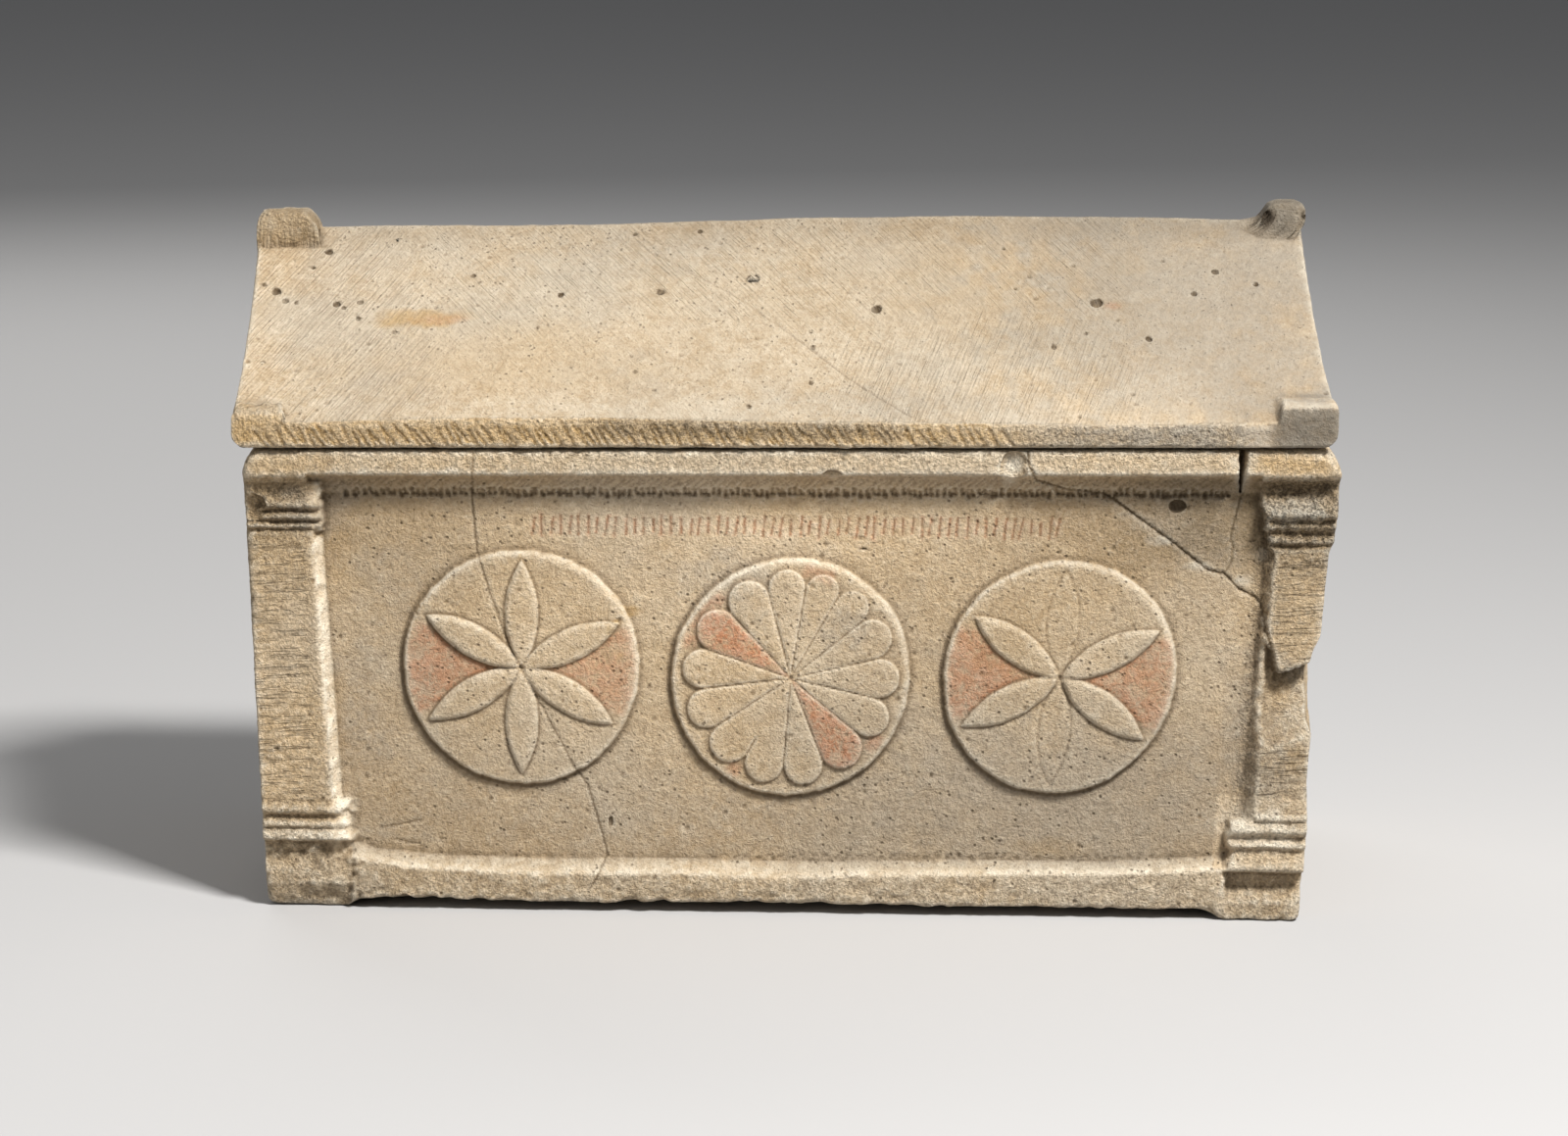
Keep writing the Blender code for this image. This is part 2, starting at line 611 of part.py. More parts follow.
def make_lid():
    """The lid: a gabled slab, hollowed beneath, with knobs on its ridge ends and its corners."""
    low, slopes, last = slope_outline()
    loops = []
    for share, eave_rise, ridge_rise in LID_STATIONS:
        eave, ridge = EAVE_TOP + eave_rise, RIDGE_HEIGHT + ridge_rise
        across = LID_LEFT + share * (LID_RIGHT - LID_LEFT)
        loop = [(across, y, z) for y, z in low]
        for y, up in slopes:
            left, right = next(fall[1:] for fall in GABLE_FALL if fall[0] == up)
            loop.append((across + (1.0 - share) * left - share * right, y, eave + (ridge - eave) * up))
        loops.append(loop + [(across, *last)])
    lid = loft("lid", *loops)
    knobs = [ridge_knob("left_ridge_knob", LEFT_RIDGE_KNOB), ridge_knob("right_ridge_knob", RIGHT_RIDGE_KNOB)]
    for side in (-1, 1):
        knobs.append(eave_knob(f"left_eave_knob_{side}", LEFT_EAVE_KNOB, side))
        knobs.append(eave_knob(f"right_eave_knob_{side}", RIGHT_EAVE_KNOB, side))
    combine(lid, knobs, "UNION")

    slope = (RIDGE_HEIGHT - EAVE_TOP) / (LID_HALF_DEPTH - RIDGE_HALF_WIDTH)
    half = LID_HALF_DEPTH - LID_WALL
    spring = EAVE_TOP + slope * LID_WALL - ROOF_THICKNESS
    crown = RIDGE_HEIGHT - ROOF_THICKNESS - CROWN_DROP
    hollow = ((-half, RIM_HEIGHT - CLEAR), (half, RIM_HEIGHT - CLEAR), (half, spring),
              (CROWN_HALF, crown), (-CROWN_HALF, crown), (-half, spring))
    combine(lid, [prism_x("lid_hollow", hollow, LID_LEFT + LID_WALL, LID_RIGHT - LID_WALL - CROWN_DROP)],
            "DIFFERENCE")
    return lid


def hand_cut(point):
    """Where a point of the square layout lies on the real, uneven stone."""
    below = max(0.0, 1.0 - point.z / TAPER_HEIGHT)
    return Vector((point.x * (1.0 - LENGTH_TAPER * below) - SIDE_LEAN * below,
                   point.y * (1.0 - DEPTH_TAPER * below),
                   point.z * (1.0 + RIM_SLOPE * point.x)))


def finish(piece):
    """Weld, triangulate and hand-cut one piece."""
    shape = bmesh.new()
    shape.from_mesh(piece.data)
    bmesh.ops.remove_doubles(shape, verts=shape.verts[:], dist=0.00002)
    bmesh.ops.dissolve_degenerate(shape, dist=0.00002, edges=shape.edges[:])
    bmesh.ops.triangulate(shape, faces=shape.faces[:])
    for corner in shape.verts:
        corner.co = hand_cut(corner.co)
    shape.to_mesh(piece.data)
    shape.free()


def centre_on_ground(pieces):
    """Slide the pieces together so that their box stands centred on the origin."""
    corners = [corner.co for piece in pieces for corner in piece.data.vertices]
    middle = [(min(c[axis] for c in corners) + max(c[axis] for c in corners)) / 2 for axis in (0, 1)]
    for piece in pieces:
        piece.data.transform(Matrix.Translation((-middle[0], -middle[1], 0.0)))


def limestone(name):
    """The pale, matt stone of one piece."""
    material = bpy.data.materials.new(name)
    material.use_nodes = True
    shader = material.node_tree.nodes["Principled BSDF"]
    shader.inputs["Base Color"].default_value = LIMESTONE
    shader.inputs["Roughness"].default_value = 0.92
    shader.inputs["Metallic"].default_value = 0.0
    return material


def main():
    """Make the chest and the lid."""
    remove_everything()
    chest, lid = make_chest(), make_lid()
    for piece in (chest, lid):
        finish(piece)
        piece.data.materials.clear()
        piece.data.materials.append(limestone(piece.name + "_stone"))
    centre_on_ground((chest, lid))


main()
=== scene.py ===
"""Looks of a limestone ossuary: a hollow chest with a carved front, and the gabled lid that rests on it.

Both pieces are laid out square, the way a mason marks a block: X along the length, Y from front
(-Y) to back, Z up from the ground. HandCut then gives them the lean and taper of the real stone.
"""

import logging
import math
from dataclasses import dataclass
from enum import Enum

import bpy
import numpy as np
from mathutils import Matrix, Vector


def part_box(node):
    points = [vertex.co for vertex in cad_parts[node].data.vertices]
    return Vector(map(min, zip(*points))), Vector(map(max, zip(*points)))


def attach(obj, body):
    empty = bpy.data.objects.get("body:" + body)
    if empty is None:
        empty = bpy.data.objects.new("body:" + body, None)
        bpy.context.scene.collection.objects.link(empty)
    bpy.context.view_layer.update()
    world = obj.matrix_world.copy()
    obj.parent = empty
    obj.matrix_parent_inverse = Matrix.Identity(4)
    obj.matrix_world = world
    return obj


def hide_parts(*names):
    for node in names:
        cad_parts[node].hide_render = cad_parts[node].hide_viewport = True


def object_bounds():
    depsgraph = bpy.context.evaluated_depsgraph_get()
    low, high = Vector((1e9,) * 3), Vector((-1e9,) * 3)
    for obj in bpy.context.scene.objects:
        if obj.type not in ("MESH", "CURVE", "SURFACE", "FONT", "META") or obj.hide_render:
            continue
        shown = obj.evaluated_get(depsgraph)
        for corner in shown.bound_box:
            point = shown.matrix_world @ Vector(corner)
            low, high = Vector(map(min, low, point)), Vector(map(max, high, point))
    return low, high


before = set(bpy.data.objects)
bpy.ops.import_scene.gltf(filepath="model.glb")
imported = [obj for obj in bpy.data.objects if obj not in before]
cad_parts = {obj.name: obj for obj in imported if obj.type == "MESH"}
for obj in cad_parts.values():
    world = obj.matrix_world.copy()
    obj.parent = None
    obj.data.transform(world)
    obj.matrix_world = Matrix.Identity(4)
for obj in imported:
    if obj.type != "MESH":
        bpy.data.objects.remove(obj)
CAD_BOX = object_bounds()
log = logging.getLogger("ossuary")

MM = 0.001
ALONG, ACROSS, UP = 0, 1, 2
PUSH_BACK = (0.0, 1.0, 0.0)
PUSH_DOWN = (0.0, 0.0, -1.0)
OUTSIDE = -9.0
TINY = 1e-9

Array = np.ndarray
Pair = tuple[float, float]
Triple = tuple[float, float, float]
Line = tuple[Pair, ...]
Piece = bpy.types.Object


# ---- sizes shared by both pieces


@dataclass(frozen=True)
class HandCut:
    """The irregularity that turns the square layout into the hand-cut stone."""

    taper_height: float = 0.268
    length_taper: float = 0.043
    depth_taper: float = 0.067
    side_lean: float = 0.004
    rim_slope: float = 0.05
    layout_left: float = -0.3080

    def place(self, points: Array) -> Array:
        """Move points of the square layout to where they lie in the row frame.

        Args:
            points: positions in the layout, one row each.

        Returns:
            The positions in the row frame.
        """
        below = np.maximum(0.0, 1.0 - points[:, 2] / self.taper_height)
        x = points[:, 0] * (1.0 - self.length_taper * below) - self.side_lean * below
        y = points[:, 1] * (1.0 - self.depth_taper * below)
        z = points[:, 2] * (1.0 + self.rim_slope * points[:, 0])
        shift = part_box("lid")[0].x - self.layout_left
        return np.stack((x + shift, y, z), axis=1)


@dataclass(frozen=True)
class Block:
    """The squared block that the chest is cut from, and the measures of its front."""

    rim_ends: Pair = (-0.3027, 0.3007)
    ground_ends: Pair = (-0.3000, 0.3025)
    half_depth: float = 0.140
    rim_height: float = 0.2645
    wall: float = 0.033
    floor_top: float = 0.032
    foot_height: float = 0.0052
    foot_length: float = 0.047
    plinth_setback: float = 0.0040
    shaft_setback: float = 0.0060
    panel_setback: float = 0.0140
    panel_half: float = 0.264
    panel_top: float = 0.238
    cornice_bottom: float = 0.2503

    @property
    def front(self) -> float:
        """Where the cornice's face lies."""
        return -self.half_depth


# ---- small numeric helpers


def unit(value: Array) -> Array:
    """Keep a value between 0 and 1."""
    return np.clip(value, 0.0, 1.0)


def ease(low: float | Array, high: float | Array, value: Array) -> Array:
    """Ease from 0 at low to 1 at high."""
    share = unit((value - low) / (high - low))
    return share * share * (3.0 - 2.0 * share)


def fade(low: float | Array, high: float | Array, value: Array) -> Array:
    """Ease from 1 at low to 0 at high."""
    return 1.0 - ease(low, high, value)


def noise(u: Array, v: Array, cell: float | Pair, seed: int) -> Array:
    """Smooth noise from -1 to 1 over a plane.

    Args:
        u: first coordinate.
        v: second coordinate.
        cell: distance between the random values, or one distance for each coordinate.
        seed: picks the random values.

    Returns:
        One value for each point.
    """
    cell_u, cell_v = cell if isinstance(cell, tuple) else (cell, cell)
    size = 256
    values = np.random.default_rng(seed).uniform(-1.0, 1.0, (size, size))
    a, b = u / cell_u + 91.7, v / cell_v + 47.3
    i, j = np.floor(a).astype(int), np.floor(b).astype(int)
    s, t = ease(0.0, 1.0, a - i), ease(0.0, 1.0, b - j)
    i0, i1, j0, j1 = i % size, (i + 1) % size, j % size, (j + 1) % size
    low = values[i0, j0] * (1 - s) + values[i1, j0] * s
    high = values[i0, j1] * (1 - s) + values[i1, j1] * s
    return low * (1 - t) + high * t


def follow(line: Line, value: Array) -> Array:
    """The height of a line, given by its corners, at each value."""
    return np.interp(value, *zip(*line))


def line_distance(u: Array, v: Array, line: Line) -> Array:
    """Distance of each point from a line of straight pieces.

    Args:
        u, v: the points.
        line: its corners.

    Returns:
        One distance for each point.
    """
    nearest = np.full(u.shape, 1.0)
    for (u0, v0), (u1, v1) in zip(line, line[1:]):
        du, dv = u1 - u0, v1 - v0
        share = unit(((u - u0) * du + (v - v0) * dv) / (du * du + dv * dv))
        nearest = np.minimum(nearest, np.hypot(u - u0 - share * du, v - v0 - share * dv))
    return nearest


# ---- the skin of a piece


class Skin:
    """A closed surface gathered from strips between rows of points."""

    def __init__(self) -> None:
        """Start with nothing."""
        self.points: list[Array] = []
        self.triangles: list[Array] = []
        self.count = 0

    def _add(self, points: Array, triangles: Array) -> None:
        """Keep a patch.

        Args:
            points: its points.
            triangles: its triangles, counted from its own first point.
        """
        self.points.append(points)
        self.triangles.append(triangles + self.count)
        self.count += len(points)

    def sheet(self, rows: list[Array]) -> None:
        """Join each row to the next; the outer side is along (row direction) x (towards the next row).

        Args:
            rows: arrays of points, equal in length or not.
        """
        run = [rows[0]]
        for row in rows[1:]:
            if len(row) == len(run[-1]):
                run.append(row)
                continue
            self._grid(run)
            self._zip(run[-1], row)
            run = [row]
        self._grid(run)

    def _grid(self, rows: list[Array]) -> None:
        """Join rows of equal length by quads, each cut in two.

        Args:
            rows: the rows in order.
        """
        if len(rows) < 2:
            return
        high, wide = len(rows), len(rows[0])
        corner = (np.arange(high - 1)[:, None] * wide + np.arange(wide - 1)[None, :]).ravel()
        right, above, across = corner + 1, corner + wide, corner + wide + 1
        flip = ((corner // wide + corner % wide) % 2).astype(bool)[:, None]
        first = np.where(flip, np.stack((corner, right, across), 1), np.stack((corner, right, above), 1))
        second = np.where(flip, np.stack((corner, across, above), 1), np.stack((right, across, above), 1))
        self._add(np.concatenate(rows), np.concatenate((first, second)))

    def _zip(self, low: Array, high: Array) -> None:
        """Join two rows of different length by triangles.

        Args:
            low, high: the two rows.
        """
        triangles, i, j = [], 0, 0
        last_i, last_j = len(low) - 1, len(high) - 1
        while i < last_i or j < last_j:
            if j == last_j or (i < last_i and (i + 1) / last_i <= (j + 1) / last_j):
                triangles.append((i, i + 1, len(low) + j))
                i += 1
            else:
                triangles.append((i, len(low) + j + 1, len(low) + j))
                j += 1
        self._add(np.concatenate((low, high)), np.array(triangles))

    def rings(self, rings: list[list[Array]]) -> None:
        """Join nested or stacked rings, each given as its four sides in order."""
        for sides in zip(*rings):
            self.sheet(list(sides))

    def weld(self) -> tuple[Array, Array]:
        """Merge the points that the patches share.

        Returns:
            The points and the triangles of one closed surface.
        """
        points, triangles = np.concatenate(self.points), np.concatenate(self.triangles)
        keys = np.round(points / (2 * MM * MM)).astype(np.int64)
        _, first, place = np.unique(keys, axis=0, return_index=True, return_inverse=True)
        triangles = place.reshape(-1)[triangles]
        whole = ((triangles[:, 0] != triangles[:, 1]) & (triangles[:, 1] != triangles[:, 2])
                 & (triangles[:, 2] != triangles[:, 0]))
        return points[first], triangles[whole]


def at_height(row: Array, height: float | Array) -> Array:
    """The same points at another height."""
    return np.column_stack((row[:, :2], np.broadcast_to(height, len(row))))


def make_mesh(name: str, points: Array, triangles: Array) -> bpy.types.Mesh:
    """A mesh from points and triangles.

    Args:
        name: its name.
        points: one row each.
        triangles: three indices each.

    Returns:
        The mesh.
    """
    mesh = bpy.data.meshes.new(name)
    mesh.vertices.add(len(points))
    mesh.vertices.foreach_set("co", points.astype(np.float32).ravel())
    mesh.loops.add(len(triangles) * 3)
    mesh.loops.foreach_set("vertex_index", triangles.astype(np.int32).ravel())
    mesh.polygons.add(len(triangles))
    mesh.polygons.foreach_set("loop_start", np.arange(0, len(triangles) * 3, 3, dtype=np.int32))
    mesh.update(calc_edges=True)
    mesh.validate()
    return mesh


def mesh_points(mesh: bpy.types.Mesh) -> Array:
    """The vertices of a mesh, one row each.

    Args:
        mesh: the mesh.

    Returns:
        An array of three columns.
    """
    points = np.empty(len(mesh.vertices) * 3, dtype=np.float32)
    mesh.vertices.foreach_get("co", points)
    return points.reshape(-1, 3).astype(float)


def placed(name: str, data: bpy.types.ID | None) -> Piece:
    """A new object in the scene.

    Args:
        name: its name.
        data: its mesh, light or camera.

    Returns:
        The object.
    """
    made = bpy.data.objects.new(name, data)
    bpy.context.collection.objects.link(made)
    return made


def evaluated(piece: Piece) -> bpy.types.Mesh:
    """What a piece's modifiers make of it, as a mesh of its own; the modifiers are then taken off.

    Args:
        piece: an object with modifiers.

    Returns:
        The mesh.
    """
    graph = bpy.context.evaluated_depsgraph_get()
    mesh = bpy.data.meshes.new_from_object(piece.evaluated_get(graph))
    piece.modifiers.clear()
    return mesh


def neighbour_mean(values: Array, edges: Array, rounds: int) -> Array:
    """Average each vertex's values with its neighbours', a number of times.

    Args:
        values: one row for each vertex.
        edges: pairs of vertices.
        rounds: how many times.

    Returns:
        The averaged rows.
    """
    count = len(values)
    ends, others = np.concatenate((edges[:, 0], edges[:, 1])), np.concatenate((edges[:, 1], edges[:, 0]))
    share = 1.0 / np.maximum(1, np.bincount(ends, minlength=count))
    for _ in range(rounds):
        total = np.stack([np.bincount(ends, weights=column[others], minlength=count)
                          for column in values.T], axis=1)
        values = 0.5 * values + 0.5 * total * share[:, None]
    return values


def triangle_edges(triangles: Array) -> Array:
    """Each edge of a triangle mesh once.

    Args:
        triangles: three indices each.

    Returns:
        Pairs of indices.
    """
    pairs = np.concatenate((triangles[:, [0, 1]], triangles[:, [1, 2]], triangles[:, [2, 0]]))
    pairs.sort(axis=1)
    keys = np.unique(pairs[:, 0].astype(np.int64) * (pairs.max() + 1) + pairs[:, 1])
    return np.stack((keys // (pairs.max() + 1), keys % (pairs.max() + 1)), axis=1)


# ---- node trees


class Socket:
    """A node's output; arithmetic on it adds Math nodes to its tree."""

    def __init__(self, graph: "Graph", link: bpy.types.NodeSocket) -> None:
        """Wrap a node's output."""
        self.graph = graph
        self.link = link

    def math(self, operation: str, other: "Socket | float" = 0.0, first: bool = True) -> "Socket":
        """Add a Math node with this value first, or second."""
        pair = (self, other) if first else (other, self)
        return self.graph.node("ShaderNodeMath", {"operation": operation}, {0: pair[0], 1: pair[1]})

    def __add__(self, other: "Socket | float") -> "Socket":
        """This plus another."""
        return self.math("ADD", other)

    __radd__ = __add__

    def __sub__(self, other: "Socket | float") -> "Socket":
        """This less another."""
        return self.math("SUBTRACT", other)

    def __rsub__(self, other: "Socket | float") -> "Socket":
        """Another less this."""
        return self.math("SUBTRACT", other, first=False)

    def __mul__(self, other: "Socket | float") -> "Socket":
        """This times another."""
        return self.math("MULTIPLY", other)

    __rmul__ = __mul__

    def __lt__(self, other: "Socket | float") -> "Socket":
        """1 where this is less than another."""
        return self.math("LESS_THAN", other)

    def clamped(self) -> "Socket":
        """This, kept between 0 and 1."""
        return self.graph.node("ShaderNodeClamp", {}, {0: self})


class Graph:
    """A node tree that is filled through one method."""

    def __init__(self, tree: bpy.types.NodeTree) -> None:
        """Take the tree that is to be filled."""
        self.tree = tree

    def node(self, kind: str, settings: dict | None = None, inputs: dict | None = None,
             output: int | str = 0) -> Socket:
        """Add a node.

        Args:
            kind: the node's type.
            settings: its properties, set before its sockets.
            inputs: values or sockets for its inputs, by name or index.
            output: which output to return.

        Returns:
            The chosen output.
        """
        made = self.tree.nodes.new(kind)
        for key, value in (settings or {}).items():
            setattr(made, key, value)
        for key, value in (inputs or {}).items():
            if isinstance(value, Socket):
                self.tree.links.new(value.link, made.inputs[key])
            else:
                made.inputs[key].default_value = value
        return Socket(self, made.outputs[output])

    def vector(self, operation: str, first: Socket | tuple, second: Socket | tuple | None = None,
               scale: Socket | float | None = None) -> Socket:
        """Add a Vector Math node; a dot product gives its number.

        Args:
            operation: which one.
            first, second: its vectors.
            scale: the factor, for SCALE.

        Returns:
            Its result.
        """
        inputs: dict = {0: first}
        if second is not None:
            inputs[1] = second
        if scale is not None:
            inputs["Scale"] = scale
        output = "Value" if operation in ("DOT_PRODUCT", "DISTANCE") else "Vector"
        return self.node("ShaderNodeVectorMath", {"operation": operation}, inputs, output)

    def ease(self, value: Socket, low: Socket | float, high: Socket | float) -> Socket:
        """Ease from 0 at low to 1 at high."""
        return self.node("ShaderNodeMapRange", {"interpolation_type": "SMOOTHSTEP"},
                         {"Value": value, "From Min": low, "From Max": high})


class GeometryTree(Graph):
    """A Geometry Nodes tree that changes one mesh, with named inputs."""

    def __init__(self, name: str) -> None:
        """Start the tree with its geometry and its material.

        Args:
            name: its name.
        """
        super().__init__(bpy.data.node_groups.new(name, "GeometryNodeTree"))
        self.source = self.tree.nodes.new("NodeGroupInput")
        self.geometry = self.input("Geometry", "NodeSocketGeometry")
        self.material = self.input("Material", "NodeSocketMaterial")
        self.tree.interface.new_socket("Geometry", in_out="OUTPUT", socket_type="NodeSocketGeometry")

    def input(self, name: str, kind: str = "NodeSocketFloat") -> Socket:
        """Add a named input and return it."""
        self.tree.interface.new_socket(name, in_out="INPUT", socket_type=kind)
        return Socket(self, self.source.outputs[name])

    def move(self, geometry: Socket, offset: Socket, **more: Socket) -> Socket:
        """Move the points of a geometry."""
        return self.node("GeometryNodeSetPosition", {}, {"Geometry": geometry, "Offset": offset, **more})

    def random(self, low: float, high: float, seed: Socket) -> Socket:
        """A random number for each point."""
        return self.node("FunctionNodeRandomValue", {"data_type": "FLOAT"},
                         {2: low, 3: high, "Seed": seed}, 1)

    def end(self, geometry: Socket) -> None:
        """Finish the tree with real geometry in its material.

        Args:
            geometry: what the tree has made.
        """
        real = self.node("GeometryNodeRealizeInstances", {}, {0: geometry})
        dressed = self.node("GeometryNodeSetMaterial", {}, {"Geometry": real, "Material": self.material})
        self.tree.links.new(dressed.link, self.tree.nodes.new("NodeGroupOutput").inputs[0])

    def add_to(self, piece: Piece, **values: object) -> None:
        """Put the tree on a piece as a modifier, with its inputs set by their identifiers.

        Args:
            piece: the object.
            values: the inputs, by name in lower case.
        """
        modifier = piece.modifiers.new(self.tree.name, "NODES")
        modifier.node_group = self.tree
        names = {item.name: item.identifier for item in self.tree.interface.items_tree
                 if item.item_type == "SOCKET" and item.in_out == "INPUT"}
        for name, value in values.items():
            modifier[names[name.replace("_", " ").capitalize()]] = value


class StrokeRow(GeometryTree):
    """Short strokes set side by side between two points, as a chisel or a scriber leaves them."""

    length_range = (0.62, 1.12)

    def __init__(self) -> None:
        """Build the tree."""
        super().__init__("stroke_row")
        start, end = self.input("Start", "NodeSocketVector"), self.input("End", "NodeSocketVector")
        count, seed = self.input("Count", "NodeSocketInt"), self.input("Seed", "NodeSocketInt")
        length, lean = self.input("Length"), self.input("Lean")
        scatter, wander = self.input("Scatter"), self.input("Wander")
        turn_axis = self.input("Turn axis", "NodeSocketVector")
        stroke = self.input("Stroke", "NodeSocketVector")
        line = self.node("GeometryNodeMeshLine", {"mode": "END_POINTS"},
                         {"Count": count, "Start Location": start, "Offset": end})
        stray = self.node("FunctionNodeRandomValue", {"data_type": "FLOAT_VECTOR"},
                          {0: (-1.0, -1.0, -1.0), 1: (1.0, 1.0, 1.0), "Seed": seed}, 0)
        along = self.vector("NORMALIZE", self.vector("SUBTRACT", end, start))
        reach = self.vector("ADD", self.vector("ABSOLUTE", along), self.vector("ABSOLUTE", stroke))
        moved = self.vector("SCALE", self.vector("MULTIPLY", stray, reach), scale=wander)
        line = self.move(line, moved)
        single = self.node("GeometryNodeMeshLine", {"mode": "END_POINTS"},
                           {"Count": 2, "Start Location": self.vector("SCALE", stroke, scale=-0.5),
                            "Offset": self.vector("SCALE", stroke, scale=0.5)})
        spread = self.random(-1.0, 1.0, seed + 1.0)
        turn = self.vector("SCALE", turn_axis, scale=lean + spread * scatter)
        size = self.random(*self.length_range, seed + 2.0) * length
        strokes = self.node("GeometryNodeInstanceOnPoints", {},
                            {"Points": line, "Instance": single, "Rotation": turn, "Scale": size})
        self.end(strokes)


class Groove(GeometryTree):
    """Cuts a groove into a surface under every line of another object."""

    grain = 420.0
    facing_limit = -0.15

    def __init__(self) -> None:
        """Build the tree."""
        super().__init__("groove")
        lines = self.input("Lines", "NodeSocketObject")
        push = self.input("Push", "NodeSocketVector")
        width, depth, snap = self.input("Width"), self.input("Depth"), self.input("Snap")
        ragged = self.input("Ragged")
        place = self.node("GeometryNodeInputPosition")
        height = self.vector("DOT_PRODUCT", place, push)
        flat = self.vector("SUBTRACT", place, self.vector("SCALE", push, scale=height))
        wires = self.node("GeometryNodeObjectInfo", {"transform_space": "ORIGINAL"},
                          {"Object": lines}, "Geometry")
        near = {0: wires, "Sample Position": flat}
        closest = self.node("GeometryNodeProximity", {"target_element": "EDGES"}, near, "Position")
        apart = self.node("GeometryNodeProximity", {"target_element": "EDGES"}, near, "Distance")
        rough = self.node("ShaderNodeTexNoise", {}, {"Vector": place, "Scale": self.grain, "Detail": 1.0})
        gap = apart + (rough - 0.5) * ragged
        bite = (1.0 - self.ease(gap, snap, width)) * depth
        aside = self.vector("SCALE", self.vector("SUBTRACT", closest, flat), scale=apart < snap)
        offset = self.vector("ADD", aside, self.vector("SCALE", push, scale=bite))
        facing = self.vector("DOT_PRODUCT", self.node("GeometryNodeInputNormal"), push) < self.facing_limit
        self.end(self.move(self.geometry, offset, Selection=facing))


class Pitting(GeometryTree):
    """Scatters round pits over a surface; the higher the rarity, the fewer are large."""

    rarity = 5.0

    def __init__(self) -> None:
        """Build the tree."""
        super().__init__("pitting")
        density, seed = self.input("Density"), self.input("Seed", "NodeSocketInt")
        smallest, largest, depth = self.input("Smallest"), self.input("Largest"), self.input("Depth")
        points = self.node("GeometryNodeDistributePointsOnFaces", {"distribute_method": "RANDOM"},
                           {"Mesh": self.geometry, "Density": density, "Seed": seed})
        pick = self.random(0.0, 1.0, seed)
        radius = smallest + (largest - smallest) * pick.math("POWER", self.rarity)
        points = self.node("GeometryNodeStoreNamedAttribute", {"data_type": "FLOAT", "domain": "POINT"},
                           {"Geometry": points, "Name": "radius", "Value": radius})
        index = self.node("GeometryNodeSampleNearest", {"domain": "POINT"}, {"Geometry": points})
        spot = self.node("GeometryNodeSampleIndex", {"data_type": "FLOAT_VECTOR", "domain": "POINT"},
                         {"Geometry": points, "Value": self.node("GeometryNodeInputPosition"),
                          "Index": index})
        own = self.node("GeometryNodeInputNamedAttribute", {"data_type": "FLOAT"}, {"Name": "radius"})
        size = self.node("GeometryNodeSampleIndex", {"data_type": "FLOAT", "domain": "POINT"},
                         {"Geometry": points, "Value": own, "Index": index})
        apart = self.vector("DISTANCE", self.node("GeometryNodeInputPosition"), spot)
        bite = (1.0 - self.ease(apart, size * 0.25, size)) * size * depth
        inward = self.vector("SCALE", self.node("GeometryNodeInputNormal"), scale=bite * -1.0)
        self.end(self.move(self.geometry, inward))


class Weathering(GeometryTree):
    """Wears a surface unevenly inwards, coarse and fine."""

    def __init__(self) -> None:
        """Build the tree."""
        super().__init__("weathering")
        place = self.node("GeometryNodeInputPosition")
        wear = None
        for name, detail in (("Coarse", 2.0), ("Fine", 3.0)):
            size, depth = self.input(f"{name} size"), self.input(f"{name} depth")
            noise = self.node("ShaderNodeTexNoise", {"normalize": True},
                              {"Vector": place, "Scale": size.math("DIVIDE", 1.0, first=False),
                               "Detail": detail, "Roughness": 0.6})
            part = (noise - 0.5) * depth
            wear = part if wear is None else wear + part
        inward = self.vector("SCALE", self.node("GeometryNodeInputNormal"), scale=wear * -1.0)
        self.end(self.move(self.geometry, inward))


# ---- carving on the front


@dataclass(frozen=True)
class Moulding:
    """A run of mouldings across one pilaster, as (height, setback) down its face."""

    inner_x: float
    profile: Line
    inner_splay: float = 0.0
    end_run: float = 0.0010
    erosion: float = 0.0006
    broken: Pair = (0.0, 0.0)

    def carve(self, x: Array, z: Array, setback: Array) -> Array:
        """Replace the setback where the mouldings are.

        Args:
            x, z: the points, along the length and above the ground.
            setback: the front before the mouldings are set in.

        Returns:
            The setback with the mouldings.
        """
        heights, faces = (np.array(column)[::-1] for column in zip(*self.profile))
        top, bottom = heights[-1], heights[0]
        side = math.copysign(1.0, self.inner_x)
        seed = 60 + round(abs(self.inner_x) * 1000) % 7
        wide, fine = noise(x, z, 7 * MM, seed), noise(x, z, 2.6 * MM, seed + 1)
        ragged = (0.9 + self.end_run / (4 * MM)) * MM * (wide + 0.8 * fine)
        inner = self.inner_x + self.inner_splay * (top - z) / (top - bottom) + ragged
        full = ease(0.0, 1.0, (x - inner) * side / self.end_run)
        low, high = self.broken
        shattered = (ease(low - MM, low + MM, z)
                     * fade(high - MM, high + MM, z + 2 * MM * wide))
        face = np.interp(z + 0.5 * MM * wide, heights, faces)
        rough = noise(x, z, 11 * MM, seed + 2) + 0.7 * wide + 0.5 * fine
        face = face + self.erosion * (0.7 * wide + 0.7 * fine) + shattered * rough * MM
        return np.where((z < top) & (z > bottom), setback + (face - setback) * full, setback)


